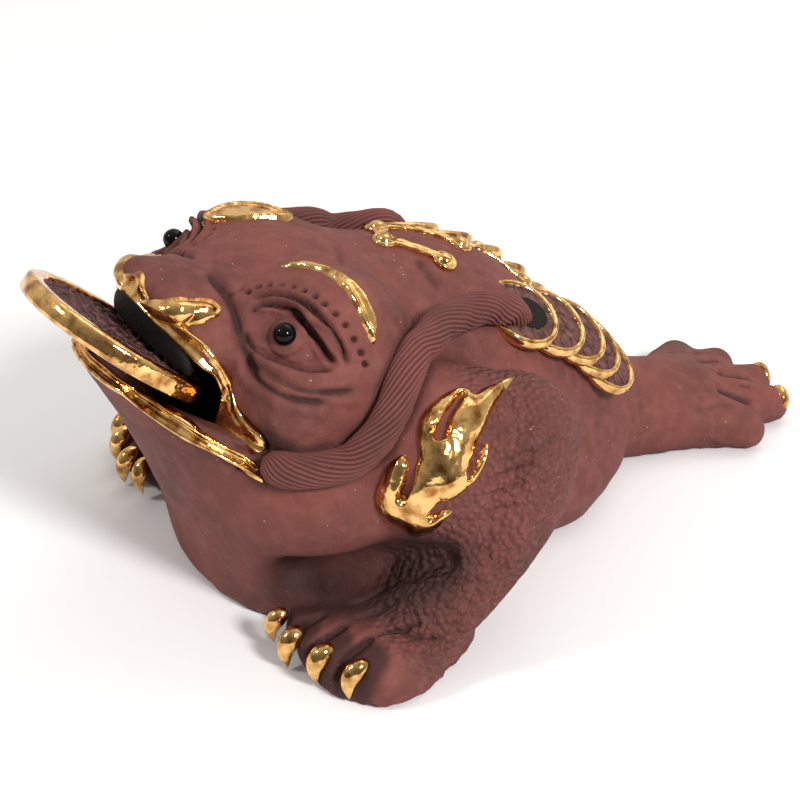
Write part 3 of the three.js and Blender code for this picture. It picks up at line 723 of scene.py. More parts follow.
def shell(top, under, quads):
    """A sheet of quads with an underside and a wall round it."""
    edges = np.concatenate([quads[:, [0, 1]], quads[:, [1, 2]], quads[:, [2, 3]], quads[:, [3, 0]]])
    codes = edges[:, 0] * len(top) + edges[:, 1]
    back = edges[:, 1] * len(top) + edges[:, 0]
    rim = edges[~np.isin(codes, back)]
    n = len(top)
    wall = np.stack([rim[:, 1], rim[:, 0], rim[:, 0] + n, rim[:, 1] + n], axis=1)
    faces = np.concatenate([quads, quads[:, ::-1] + n, wall])
    used, faces = np.unique(faces, return_inverse=True)
    points = np.concatenate([top, under])[used]
    return points, faces.reshape(-1, 4).tolist()


# Node helpers

def colour(value):
    """Linear colour of an sRGB hex value."""
    parts = [int(value[n:n + 2], 16) / 255 for n in (1, 3, 5)]
    return tuple(c / 12.92 if c <= 0.04045 else ((c + 0.055) / 1.055) ** 2.4 for c in parts) + (1.0,)


def add(tree, kind, inputs=None, **settings):
    """A node of a kind with its settings; an input takes a value or another node's socket."""
    node = tree.nodes.new(kind)
    for name, value in settings.items():
        setattr(node, name, value)
    for key, value in (inputs or {}).items():
        if isinstance(value, bpy.types.NodeSocket):
            tree.links.new(value, node.inputs[key])
        else:
            node.inputs[key].default_value = value
    return node


def surface(name):
    """An empty material with its tree and its place in millimetres."""
    material = bpy.data.materials.new(name)
    material.use_nodes = True
    tree = material.node_tree
    tree.nodes.clear()
    metres = add(tree, "ShaderNodeTexCoord").outputs["Object"]
    spot = add(tree, "ShaderNodeVectorMath", {0: metres, 1: (1000, 1000, 1000)}, operation="MULTIPLY")
    return material, tree, spot.outputs["Vector"]


def coated(material, base, roughness, shine=0.5, **inputs):
    """The material with its colour, roughness and shine, and more inputs of its shader."""
    tree = material.node_tree
    inputs.update({"Base Color": base, "Roughness": roughness, "Specular IOR Level": shine})
    shader = add(tree, "ShaderNodeBsdfPrincipled", inputs)
    add(tree, "ShaderNodeOutputMaterial", {"Surface": shader.outputs["BSDF"]})
    return material


def grain(tree, spot, size, detail):
    """A noise whose humps are a size in millimetres."""
    node = add(tree, "ShaderNodeTexNoise", {"Vector": spot, "Scale": 1 / size, "Detail": detail})
    return node.outputs["Fac"]


def cells(tree, spot, size):
    """Cells about a size in millimetres across."""
    return add(tree, "ShaderNodeTexVoronoi", {"Vector": spot, "Scale": 1 / size}, feature="F1").outputs


def eased(tree, value, low, high, to_low=0.0, to_high=1.0):
    """A value's range mapped onto another."""
    return add(tree, "ShaderNodeMapRange", {"Value": value, "From Min": low, "From Max": high,
                                            "To Min": to_low, "To Max": to_high}).outputs["Result"]


def mixed(tree, share, a, b):
    """Two colours mixed by a share."""
    node = add(tree, "ShaderNodeMix", {"Factor": share, 6: a, 7: b}, data_type="RGBA")
    return node.outputs[2]


def maths(tree, operation, *values):
    """The result of a calculation with one or two numbers."""
    return add(tree, "ShaderNodeMath", dict(enumerate(values)), operation=operation).outputs["Value"]


def times(tree, a, b):
    """Two numbers multiplied."""
    return maths(tree, "MULTIPLY", a, b)


def bumped(tree, strength, *heights):
    """A rough surface from pairs of a height and its millimetres."""
    total = 0.0
    for height, share in heights:
        total = maths(tree, "ADD", total, times(tree, height, share))
    bump = add(tree, "ShaderNodeBump", {"Height": total, "Strength": strength, "Distance": MM})
    return bump.outputs["Normal"]


def layer(tree, name):
    """A number stored on the mesh."""
    return add(tree, "ShaderNodeAttribute", attribute_name=name).outputs["Fac"]


# Finishes

def clouded(tree, spot, size, look):
    """Clouds of the redder and the greyer clay."""
    share = eased(tree, grain(tree, spot, size, 4), 0.35, 0.65)
    return mixed(tree, share, colour(look.clay_dark), colour(look.clay_light))


def fired_clay(look):
    """Fired purple sand clay, hand modelled and left unglazed."""
    # Matt and fine grained, so light falls off softly; iron in it gives redder and greyer clouds,
    # and flakes of mica show as tiny pale specks.
    material, tree, spot = surface("fired purple clay")
    base = clouded(tree, spot, 14, look)
    base = mixed(tree, eased(tree, grain(tree, spot, 2.6, 5), 0.45, 0.75, 0, 0.45), base, colour("#87534a"))
    # Mica flakes a quarter of a millimetre wide, in one cell of five
    flake = cells(tree, spot, 1.5)
    chance = add(tree, "ShaderNodeSeparateColor", {"Color": flake["Color"]}).outputs["Red"]
    near = times(tree, eased(tree, flake["Distance"], 0.06, 0.1, 1, 0), eased(tree, chance, 0.8, 0.82))
    base = mixed(tree, times(tree, near, 0.6), base, colour("#d8c4b4"))
    # Painted shade: the hollows are darkened
    base = mixed(tree, times(tree, layer(tree, "hollow"), 0.85), base, colour("#2c1a18"))
    # Painted shade: the inside of the mouth, the tongue and the rope holes are painted nearly black
    base = mixed(tree, layer(tree, "mouth"), base, colour("#0c0807"))
    # Pebbled skin on the arms, with painted shade in the gaps between pebbles
    pebble = eased(tree, cells(tree, spot, 1.3)["Distance"], 0.1, 0.7, 1, 0)
    gap = times(tree, maths(tree, "SUBTRACT", 0.62, pebble), layer(tree, "pebble"))
    base = mixed(tree, times(tree, gap, 0.6), base, colour("#3f2623"))
    # Grains of sand, and soft marks of the modelling tool
    sand, dabs = grain(tree, spot, 0.35, 3), grain(tree, spot, 1.9, 3)
    rough_skin = bumped(tree, 0.8, (sand, 0.14), (dabs, 0.34), (pebble, layer(tree, "pebble")))
    return coated(material, base, 0.72, 0.3, Normal=rough_skin)


def rope_clay(look):
    """The same clay where it was combed into strands."""
    # Painted shade darkens the grooves; the clay is as matt as the body.
    material, tree, spot = surface("combed purple clay")
    base = mixed(tree, layer(tree, "groove"), clouded(tree, spot, 9, look), colour("#3a2320"))
    sand = grain(tree, spot, 0.4, 3)
    return coated(material, base, 0.74, 0.35, Normal=bumped(tree, 0.8, (sand, 0.1)))


def gold_lustre(look):
    """Bright gold lustre, brushed on over glaze and fired."""
    # A thin mirror of metal over hand-smoothed clay: sharp yellow lights, and dark orange where it
    # mirrors the clay or lies thin.
    material, tree, spot = surface("fired gold lustre")
    thin = eased(tree, grain(tree, spot, 2.6, 4), 0.44, 0.66, 0, 0.85)
    base = mixed(tree, thin, colour(look.gold), colour(look.gold_thin))
    brush, wave = grain(tree, spot, 0.9, 3), grain(tree, spot, 2.5, 2)
    return coated(material, base, eased(tree, brush, 0.3, 0.8, 0.07, 0.2), Metallic=1.0,
                  Normal=bumped(tree, 0.6, (wave, 0.42), (brush, 0.03)))


def dark_clay(look):
    """The coins' faces: clay rubbed with dark slip, which stays in the strokes."""
    # Darker and a touch redder than the body, with a rubbed look on what stands up.
    material, tree, spot = surface("slip rubbed clay")
    share = eased(tree, grain(tree, spot, 1.6, 4), 0.35, 0.7)
    base = mixed(tree, share, colour("#43292a"), colour("#764a44"))
    rub = grain(tree, spot, 0.5, 4)
    return coated(material, base, 0.66, 0.4, Normal=bumped(tree, 0.8, (rub, 0.1)))


def black_glass(look):
    """Pressed black glass beads."""
    # Deep black with small sharp lights.
    material, tree, spot = surface("black glass bead")
    base = mixed(tree, grain(tree, spot, 1.2, 2), colour("#040404"), colour("#0d0b0a"))
    return coated(material, base, 0.04, 0.17, IOR=1.52)


def studio_paper(look):
    """Matt white background paper."""
    # Even and nearly white, with only a breath of tone in it.
    material, tree, spot = surface("matt white paper")
    base = mixed(tree, grain(tree, spot, 300, 2), colour("#f1f0f1"), colour("#f5f4f5"))
    return coated(material, base, 0.9)


def studio_air():
    """The studio round the toad: bright above and behind, dim where the camera's side is."""
    world = bpy.data.worlds.new("studio")
    world.use_nodes = True
    tree = world.node_tree
    tree.nodes.clear()
    way = add(tree, "ShaderNodeTexCoord").outputs["Generated"]
    height = add(tree, "ShaderNodeSeparateXYZ", {"Vector": way}).outputs["Z"]
    away = add(tree, "ShaderNodeVectorMath", {0: way, 1: (-0.75, 0.6, 0.25)}, operation="DOT_PRODUCT")
    above = eased(tree, height, 0.0, 0.85, 0.5, 0.55)
    bright = times(tree, above, eased(tree, away.outputs["Value"], -0.8, 0.8, 0.36, 1.5))
    # The camera itself sees an even white
    seen = add(tree, "ShaderNodeLightPath").outputs["Is Camera Ray"]
    tone = mixed(tree, seen, colour("#faf6f0"), colour("#fafafa"))
    bright = maths(tree, "ADD", times(tree, bright, maths(tree, "SUBTRACT", 1.0, seen)), seen)
    air = add(tree, "ShaderNodeBackground", {"Color": tone, "Strength": bright})
    add(tree, "ShaderNodeOutputWorld", {"Surface": air.outputs["Background"]})
    return world


MATERIALS = {}


def finish(name):
    """A material of the toad, made when it is first asked for."""
    makers = {"clay": fired_clay, "rope": rope_clay, "gold": gold_lustre, "dark": dark_clay,
              "glass": black_glass, "paper": studio_paper}
    if name not in MATERIALS:
        MATERIALS[name] = makers[name](bpy.context.scene.toad_look)
    return MATERIALS[name]


# Geometry Nodes trees

def new_tree(name, **inputs):
    """A tree that takes geometry and named numbers, with its two ends."""
    kinds = {float: "NodeSocketFloat", int: "NodeSocketInt"}
    tree = bpy.data.node_groups.new(name, "GeometryNodeTree")
    tree.interface.new_socket("Geometry", in_out="INPUT", socket_type="NodeSocketGeometry")
    for label, value in inputs.items():
        kind = "NodeSocketMaterial" if value is bpy.types.Material else kinds[type(value)]
        socket = tree.interface.new_socket(label, in_out="INPUT", socket_type=kind)
        if kind != "NodeSocketMaterial":
            socket.default_value = value
    tree.interface.new_socket("Geometry", in_out="OUTPUT", socket_type="NodeSocketGeometry")
    return tree, add(tree, "NodeGroupInput").outputs


def end_tree(tree, geometry, material):
    """The last nodes: real geometry in its material."""
    real = add(tree, "GeometryNodeRealizeInstances", {"Geometry": geometry}).outputs["Geometry"]
    done = add(tree, "GeometryNodeSetMaterial", {"Geometry": real, "Material": material})
    add(tree, "NodeGroupOutput", {"Geometry": done.outputs["Geometry"]})


def grown(name, base, tree, values):
    """The plain mesh that a tree makes from a base mesh, as a piece of the toad."""
    carrier = bpy.data.objects.new(name + "_base", base)
    bpy.context.scene.collection.objects.link(carrier)
    modifier = carrier.modifiers.new("Build", "NODES")
    modifier.node_group = tree
    for item in tree.interface.items_tree:
        if item.in_out == "INPUT" and item.name in values:
            modifier[item.identifier] = values[item.name]
    evaluated = carrier.evaluated_get(bpy.context.evaluated_depsgraph_get())
    mesh = bpy.data.meshes.new_from_object(evaluated)
    mesh.name = name
    carrier.modifiers.clear()
    bpy.data.objects.remove(carrier)
    settled(name, mesh, values["Material"])


def guide(points):
    """A line of a mesh's points and edges to grow a piece along."""
    mesh = bpy.data.meshes.new("guide")
    mesh.from_pydata(place(points).tolist(), [(i, i + 1) for i in range(len(points) - 1)], [])
    return mesh


def spots(points, outs):
    """Loose points to grow things on, with the way that each faces."""
    mesh = bpy.data.meshes.new("spots")
    mesh.from_pydata(place(points).tolist(), [], [])
    facing = mesh.attributes.new("facing", "FLOAT_VECTOR", "POINT")
    facing.data.foreach_set("vector", np.asarray(outs, np.float32).ravel())
    return mesh


# Millimetres between the rings of points along a rope
ROPE_STEP = 0.7


def rope_tree():
    """A clay rope of combed strands along a line."""
    tree, given = new_tree("clay rope", Diameter=6 * MM, Strands=21, Groove=0.5 * MM, Turn=46 * MM,
                           Step=ROPE_STEP * MM, Material=bpy.types.Material)
    # One ring of lobes, with a groove between two strands
    sides = times(tree, given["Strands"], 7)
    radius = times(tree, given["Diameter"], 0.5)
    ring = add(tree, "GeometryNodeCurvePrimitiveCircle", {"Resolution": sides, "Radius": radius})
    spot = add(tree, "GeometryNodeInputPosition").outputs["Position"]
    parts = add(tree, "ShaderNodeSeparateXYZ", {"Vector": spot}).outputs
    angle = maths(tree, "ARCTAN2", parts["Y"], parts["X"])
    swing = maths(tree, "COSINE", times(tree, times(tree, angle, given["Strands"]), 0.5))
    dip = maths(tree, "SUBTRACT", 1.0, maths(tree, "ABSOLUTE", swing))
    dip = maths(tree, "POWER", dip, 1.6)
    # The groove's share is kept for the painted shade in the grooves
    kept = add(tree, "GeometryNodeStoreNamedAttribute", {"Geometry": ring.outputs["Curve"],
               "Name": "groove", "Value": dip}, data_type="FLOAT", domain="POINT")
    depth = times(tree, times(tree, dip, given["Groove"]), -1.0)
    way = add(tree, "ShaderNodeVectorMath", {0: spot}, operation="NORMALIZE").outputs["Vector"]
    offset = add(tree, "ShaderNodeVectorMath", {0: way, "Scale": depth}, operation="SCALE")
    lobed = add(tree, "GeometryNodeSetPosition", {"Geometry": kept.outputs["Geometry"],
                "Offset": offset.outputs["Vector"]}).outputs["Geometry"]
    # The line, evenly spaced and turned steadily, from a rounded nose
    line = add(tree, "GeometryNodeMeshToCurve", {"Mesh": given["Geometry"]}).outputs["Curve"]
    line = add(tree, "GeometryNodeResampleCurve", {"Curve": line, "Length": given["Step"]}, mode="LENGTH")
    run = add(tree, "GeometryNodeSplineParameter").outputs["Length"]
    tilt = times(tree, maths(tree, "DIVIDE", run, given["Turn"]), math.tau)
    twisted = add(tree, "GeometryNodeSetCurveTilt", {"Curve": line.outputs["Curve"], "Tilt": tilt})
    nose = times(tree, radius, 1.2)
    close = maths(tree, "MINIMUM", maths(tree, "DIVIDE", run, nose), 1.0)
    gone = maths(tree, "POWER", maths(tree, "SUBTRACT", 1.0, close), 2.0)
    width = maths(tree, "POWER", maths(tree, "SUBTRACT", 1.0, gone), 0.5)
    width = maths(tree, "MAXIMUM", width, 0.08)
    body = add(tree, "GeometryNodeCurveToMesh", {"Curve": twisted.outputs["Curve"],
               "Profile Curve": lobed, "Scale": width, "Fill Caps": True})
    end_tree(tree, body.outputs["Mesh"], given["Material"])
    return tree


def string_rim_tree():
    """A rounded rim on each spot, facing its way."""
    tree, given = new_tree("coin rims", Diameter=15 * MM, Width=1.5 * MM, Height=2.4 * MM,
                           Material=bpy.types.Material)
    half = times(tree, given["Width"], 0.5)
    middle = maths(tree, "SUBTRACT", times(tree, given["Diameter"], 0.5), half)
    ring = add(tree, "GeometryNodeCurvePrimitiveCircle", {"Resolution": 56, "Radius": middle})
    wire = add(tree, "GeometryNodeCurvePrimitiveCircle", {"Resolution": 12, "Radius": 1.0})
    high = times(tree, given["Height"], 0.5)
    size = add(tree, "ShaderNodeCombineXYZ", {"X": half, "Y": high, "Z": 1.0})
    wire = add(tree, "GeometryNodeTransform", {"Geometry": wire.outputs["Curve"],
               "Scale": size.outputs["Vector"]})
    rim = add(tree, "GeometryNodeCurveToMesh", {"Curve": ring.outputs["Curve"],
              "Profile Curve": wire.outputs["Geometry"]})
    on_spots(tree, given, rim.outputs["Mesh"])
    return tree


def on_spots(tree, given, thing):
    """Ends a tree with a thing on each of its points, its Z along the point's facing."""
    facing = add(tree, "GeometryNodeInputNamedAttribute", {"Name": "facing"}, data_type="FLOAT_VECTOR")
    turn = add(tree, "FunctionNodeAlignRotationToVector", {"Vector": facing.outputs["Attribute"]},
               axis="Z")
    put = add(tree, "GeometryNodeInstanceOnPoints", {"Points": given["Geometry"], "Instance": thing,
              "Rotation": turn.outputs["Rotation"]})
    end_tree(tree, put.outputs["Instances"], given["Material"])


def coin_face_tree():
    """A clay disc with short raised strokes strewn over it, on each spot."""
    tree, given = new_tree("coin faces", Diameter=12 * MM, Thickness=1.2 * MM, Spacing=1.55 * MM,
                           Stroke=1.9 * MM, Seed=4, Material=bpy.types.Material)
    radius = times(tree, given["Diameter"], 0.5)
    disc = add(tree, "GeometryNodeMeshCylinder", {"Vertices": 40, "Side Segments": 1,
               "Fill Segments": 3, "Radius": radius, "Depth": given["Thickness"]},
               fill_type="TRIANGLE_FAN").outputs
    sown = add(tree, "GeometryNodeDistributePointsOnFaces", {"Mesh": disc["Mesh"],
               "Selection": disc["Top"], "Distance Min": given["Spacing"], "Density Max": 2.0e6,
               "Seed": given["Seed"]}, distribute_method="POISSON")
    thin = times(tree, given["Stroke"], 0.19)
    size = add(tree, "ShaderNodeCombineXYZ", {"X": given["Stroke"], "Y": thin, "Z": thin})
    bar = add(tree, "GeometryNodeMeshCube", {"Size": size.outputs["Vector"]})
    spin = add(tree, "FunctionNodeRandomValue", {"Min": (0, 0, 0), "Max": (0, 0, math.tau),
               "Seed": given["Seed"]}, data_type="FLOAT_VECTOR")
    turn = add(tree, "FunctionNodeEulerToRotation", {"Euler": spin.outputs["Value"]})
    strokes = add(tree, "GeometryNodeInstanceOnPoints", {"Points": sown.outputs["Points"],
                  "Instance": bar.outputs["Mesh"], "Rotation": turn.outputs["Rotation"]})
    whole = add(tree, "GeometryNodeJoinGeometry")
    for form in (strokes.outputs["Instances"], disc["Mesh"]):
        tree.links.new(form, whole.inputs["Geometry"])
    on_spots(tree, given, whole.outputs["Geometry"])
    return tree


# The strings of coins and the stars

# Centres of the coins on the back. The right string lies nearer to the spine than the left one.
LEFT_STRING = ((15.6, 5.2, 43.6), (15.05, 11.7, 40.1), (13.4, 17.8, 36), (12.55, 22.3, 31.7),
               (12, 26.4, 27))
RIGHT_STRING = ((-13, -2.6, 50.3), (-13.2, 4.8, 46.7), (-12.8, 11.2, 42.6), (-12.2, 16.4, 38),
                (-11.8, 20.9, 33.1))


def string_facings():
    """The way that each coin on the back faces, the left string first."""
    left = [unit((0.47, 0.24 + 0.04 * i, 0.84 - 0.03 * i)) for i in range(len(LEFT_STRING))]
    right = [unit((-0.4, 0.22 + 0.03 * i, 0.88 - 0.03 * i)) for i in range(len(RIGHT_STRING))]
    return np.array(left + right)


def on_skin(x, y):
    """The top of the skin over a place in plan."""
    return lowered(np.array([[x, y, 60.0]]), np.array((0, 0, 1.0)))[0]


# What a user would change

class Sizes(bpy.types.PropertyGroup):
    """Sizes that a user would change."""
    rope_diameter: bpy.props.FloatProperty(
        name="Rope diameter", description="Thickness of the two clay ropes",
        default=6 * MM, unit="LENGTH")
    rope_strands: bpy.props.IntProperty(
        name="Rope strands", description="Combed strands round a rope", default=21, min=6)
    rope_turn: bpy.props.FloatProperty(
        name="Rope turn", description="Length in which a strand goes once round the rope",
        default=46 * MM, unit="LENGTH")
    string_coin: bpy.props.FloatProperty(
        name="String coin", description="Diameter of the coins on the back",
        default=15 * MM, unit="LENGTH")
    string_rim: bpy.props.FloatProperty(
        name="String coin rim", description="Width of the gilded rim of the coins on the back",
        default=1.5 * MM, unit="LENGTH")
    eye_bead: bpy.props.FloatProperty(
        name="Eye bead", description="Diameter of the black glass beads",
        default=3.8 * MM, unit="LENGTH")


class Look(bpy.types.PropertyGroup):
    """Colours that a user would change."""
    clay_light: bpy.props.StringProperty(
        name="Light clay", description="sRGB hex value of the clay where it fired redder",
        default="#78403a")
    clay_dark: bpy.props.StringProperty(
        name="Dark clay", description="sRGB hex value of the clay where it fired greyer",
        default="#60352f")
    gold: bpy.props.StringProperty(
        name="Gold", description="sRGB hex value of the thick gold lustre", default="#f6c67e")
    gold_thin: bpy.props.StringProperty(
        name="Thin gold", description="sRGB hex value of gold lustre where it lies thin",
        default="#8a4a14")


# Operators, one for each piece or group of like pieces

# The drawn box in which the skin is looked for, and the step of its first grid
SKIN_LOW, SKIN_HIGH, SKIN_STEP = (-54, -74.5, -1.6), (54, 79, 65), 1.5


class ToadSkin(bpy.types.Operator):
    """The clay body with its mouth, eyes, scales and creases"""
    bl_idname = "money_toad.skin"
    bl_label = "Clay body"

    def execute(self, context):
        points, faces = net(figure, SKIN_LOW, SKIN_HIGH, SKIN_STEP)
        points = relaxed(points, faces, figure, 2)
        for _ in range(3):
            points, faces = split_long(points, faces, target_length)
            points = drawn_on(figure, points)
        points = relaxed(points, faces, figure, 1)
        out = unit(slope_of(figure, points))
        # The tool worked the outside of the skin, above the foot of the figure
        worked = ramp(points[:, 2], 0.1, 1.2) * (1 - ramp(-skin(points), 0.3, 1.0))
        push = pressed(points) * worked
        # Painted shade: the hollow layer darkens the pressed grooves and the skin along the shadow lines
        hollow = ramp(-push, 0.2, 0.75)
        half = folded(points)
        for line, near, far, share in shadow_lines():
            hollow = np.maximum(hollow, share * (1 - ramp(reach(half, line)[0], near, far)))
        # Painted shade: the inside of the mouth is marked to be painted nearly black
        mouth = ramp(-skin(points), 1.2, 4.5) * (points[:, 2] > 12)
        layers = {"hollow": hollow * worked, "mouth": mouth, "pebble": fine_scales(points) * worked}
        form = (points + push[:, None] * out, faces)
        piece("toad_skin", form, finish("clay"), "toad", layers)
        return {"FINISHED"}


class Ropes(bpy.types.Operator):
    """A combed clay rope from each mouth corner to the coins"""
    bl_idname = "money_toad.ropes"
    bl_label = "Ropes"

    def execute(self, context):
        sizes = context.scene.toad_sizes
        tree = rope_tree()
        paths = (("rope_left", 1, ROPE_PATH), ("rope_right", -1, ROPE_PATH[:9] + RIGHT_ROPE_END))
        for name, side, path in paths:
            line = even_line(smooth_line(path, 12), ROPE_STEP)
            # The ropes wander a little past their first millimetres
            sway = np.stack([rough(line, 5, seed) for seed in (1, 4, 8)], axis=1)
            line = line + 0.45 * sway * ramp(np.arange(len(line)), 4, 14)[:, None]
            grown(name, guide(line * (side, 1, 1)), tree, {
                "Diameter": sizes.rope_diameter, "Strands": sizes.rope_strands,
                "Turn": side * sizes.rope_turn, "Material": finish("rope")})
        return {"FINISHED"}


class StringCoins(bpy.types.Operator):
    """Two strings of coins down the back, each coin on the next"""
    bl_idname = "money_toad.string_coins"
    bl_label = "Strings of coins"

    def execute(self, context):
        sizes = context.scene.toad_sizes
        centres, outs = np.array(LEFT_STRING + RIGHT_STRING), string_facings()
        grown("string_coin_rims", spots(centres, outs), string_rim_tree(), {
            "Diameter": sizes.string_coin, "Width": sizes.string_rim, "Material": finish("gold")})
        grown("string_coin_faces", spots(centres + outs * 0.1, outs), coin_face_tree(), {
            "Diameter": sizes.string_coin - 1.4 * sizes.string_rim, "Material": finish("dark")})
        # The rope of each string goes into a hole in its first coin, drawn as a low disc painted nearly
        # black as the hole's shade
        holes = []
        for n in (0, len(LEFT_STRING)):
            easel = Easel(centres[n] + 0.2 * outs[n] + (0.1, 1.3, -0.7), outs[n], (0, 1, 0))
            holes.append(turned(easel, ((0, 1.0), (2.6, 1.04), (3.2, 1.12), (3.5, 0.9), (3.7, 0)), 32))
        form = joined(holes)
        # Painted shade: the mouth layer paints these discs nearly black
        piece("rope_hole_shades", form, finish("clay"), layers={"mouth": np.ones(len(form[0]))})
        return {"FINISHED"}


# The flame's edge as curves from corner to corner, in the flame's own frame
FLAME_STROKES = (
    ((-6, 0.1), (-6.7, -2.1), (-6.3, -4.7), (-5.6, -7.3), (-4, -9.2), (-1.7, -9.9), (0.4, -9.7),
     (2.1, -9.8), (4.1, -9.2), (5.2, -7.8), (5.8, -5.9), (5.9, -2.8)),
    ((5.9, -2.8), (4.6, -2.9), (3.4, -2.9)),
    ((3.4, -2.9), (4.7, -1.5), (5.7, 1.1), (6.1, 3.9), (6, 6.4), (5.2, 8.4), (4.1, 9.4)),
    ((4.1, 9.4), (3.8, 8.4), (4, 6.6), (4, 4.9)),
    ((4, 4.9), (3, 7.9), (2.6, 11.6), (2.3, 15), (2.6, 18.7), (3, 21.4)),
    ((3, 21.4), (1.3, 19), (-0.5, 16.6), (-1.5, 14.7)),
    ((-1.5, 14.7), (-2.3, 14.8), (-2.8, 15)),
    ((-2.8, 15), (-4.6, 13.6), (-6.1, 10.8), (-6.8, 7.6), (-6.4, 5.2), (-5.2, 3.1), (-3.7, 1.3),
     (-3.1, -0.6), (-3, -1.8)),
    ((-3, -1.8), (-4.4, -0.5), (-6, 0.1)),
)
# Slits that narrow to the open end: (line, half width at its root)
FLAME_SLITS = (
    (((-1.9, -4.6), (-2.4, -2.8), (-3.1, -1.4)), 0.6),
    (((-2.9, 5.7), (-3.4, 8.7), (-3, 12.8)), 0.62),
    (((4.5, 3.3), (4, 6.1), (3.5, 9.5)), 0.5),
    (((3.4, -4.5), (3.9, -3), (4.7, -2.3)), 0.5),
)


class Flames(bpy.types.Operator):
    """A gilded flame on each shoulder"""
    bl_idname = "money_toad.flames"
    bl_label = "Flames"

    def execute(self, context):
        ring = np.concatenate([smooth_line(s, 6)[:-1] for s in FLAME_STROKES])

        def height(inner, flat):
            body = 1.2 * (1 - np.exp(-np.maximum(inner, 0) / 0.45)) + 0.9 * ramp(inner, 0.4, 3.0)
            for line, half in FLAME_SLITS:
                d, t = reach(flat, smooth_line(line, 6))
                gap = d - half * (1 - 0.35 * t)
                body = body - 3.2 * (1 - ramp(gap, -0.25, 0.45))
            return np.maximum(body, -0.8)

        gilded("flames", mirrored(*relief(FLAME, ring, height, 0.28, 12)))
        return {"FINISHED"}


class Brows(bpy.types.Operator):
    """A gilded crescent over the left eye and a broad gilded leaf over the right one"""
    bl_idname = "money_toad.brows"
    bl_label = "Brows"

    def execute(self, context):
        top = smooth_line(((-8.6, 11.1), (-5.6, 13.1), (-2.1, 13.9), (1.8, 13.7), (6.3, 12.2),
                           (10.6, 8.7), (12.4, 4.6)), 6)
        low = smooth_line(((12.4, 4.6), (9.5, 6.5), (6.9, 8.8), (4.1, 10.9), (0.3, 12.3), (-3.9, 12.4),
                           (-8.6, 11.1)), 6)
        ring = np.concatenate([top[:-1], low[:-1]])

        def height(inner, flat):
            return 1.2 * (1 - np.exp(-np.maximum(inner, 0) / 0.3)) - 0.75 * ramp(inner, 0.5, 1.1)

        # The right brow is a broad leaf on top of the head, the left one a narrow crescent
        broad = smooth_line(((-17.4, -39.4), (-13.2, -37.6), (-11, -34.6), (-10.2, -31.6), (-9.6, -28.4),
                             (-10.6, -25.4), (-13.6, -26.6), (-16.8, -30), (-18.8, -35)), 6, closed=True)
        crown = Easel((0, 0, 60), (-0.05, 0, 1), (0, 1, 0))
        broad = np.stack([broad @ crown.side[:2], broad @ crown.up[:2]], axis=1)
        gilded("brows", relief(EYE, ring, height, 0.26, 4, 0.22),
               relief(crown, broad, height, 0.28, 4, 0.2))
        return {"FINISHED"}


class Leaves(bpy.types.Operator):
    """A gilded leaf on each side of the snout"""
    bl_idname = "money_toad.leaves"
    bl_label = "Snout leaves"

    def execute(self, context):
        ring = smooth_line(((-8, 0.2), (-6.8, 0.8), (-2.9, 1.1), (-0.1, 2.2), (1.8, 3.1),
                            (3.4, 3.1), (4.9, 2.2), (5.1, 1.1), (4.6, 0.1), (3, -1.4),
                            (1.4, -2.3), (-0.1, -3), (-2.3, -2.8), (-4.2, -2.3), (-6.3, -1)),
                            5, closed=True)

        def height(inner, flat):
            crest = np.abs(inner - 0.75) < 0.3
            body = 0.75 * (1 - np.exp(-np.maximum(inner, 0) / 0.3)) + 0.6 * ramp(inner, 0.5, 2.0)
            return body - 0.3 * crest * (flat[:, 1] > 0.8)

        gilded("snout_leaves", mirrored(*relief(LEAF, ring, height, 0.28, 8, 0.2)))
        return {"FINISHED"}


# The rails of the upper lip's gold, as those of the lower lip
UPPER_LIP = (
    ((0, -60.7, 57.2), (2.6, -60.7, 57.2), (4.9, -60.3, 56.5), (7.6, -59.4, 55.3), (9.9, -58.6, 54.2),
     (12.4, -57.9, 52.9), (14.4, -57, 51.6), (15.8, -55.8, 50.1), (16.6, -54.5, 48.9),
     (16.9, -53.6, 46.9), (16.9, -53.2, 45), (16.9, -53.4, 42.6), (16.7, -54.1, 40.4),
     (19, -53.4, 38.6), (22.5, -52, 38), (26, -50.4, 37.5)),
    ((0, -59.1, 61), (2.4, -59.7, 59.9), (4.6, -59.8, 59), (7.6, -59.1, 57.6), (10.4, -57.8, 56.2),
     (13, -56.4, 54.9), (14.9, -55.3, 53.6), (16.4, -54.2, 52), (17.3, -52.9, 50),
     (18.1, -52.1, 47.8), (18.1, -52, 46), (19.4, -52, 44.2), (20.8, -51.8, 42.8),
     (22, -51.7, 42), (23.6, -51.1, 41), (25.4, -50, 40)),
)


def whole_rail(half):
    """A smooth rail from the right corner of the mouth to the left from its left half."""
    half = np.asarray(half, float)
    return smooth_line(np.concatenate([(half * (-1, 1, 1))[:0:-1], half]), 10)


def uneven(shape, t, seed, swing):
    """A section with the maker's unevenness in it."""
    s = np.asarray(shape, float)
    drift = [noise.noise(Vector((15 * t, k * 0.3, seed))) for k in range(len(s))]
    edge = noise.noise(Vector((17 * t, 3.1, seed)))
    s = s + np.stack([0.16 * edge * (s[:, 0] > 0.7), swing * np.array(drift)], axis=1)
    return s


def rounded_end(s, t):
    """A lip's section drawn together near the corners of the mouth."""
    close = min(1, (min(t, 1 - t) + 1e-4) / 0.012) ** 0.5
    return (s - (0.5, -0.3)) * close + (0.5, -0.3)


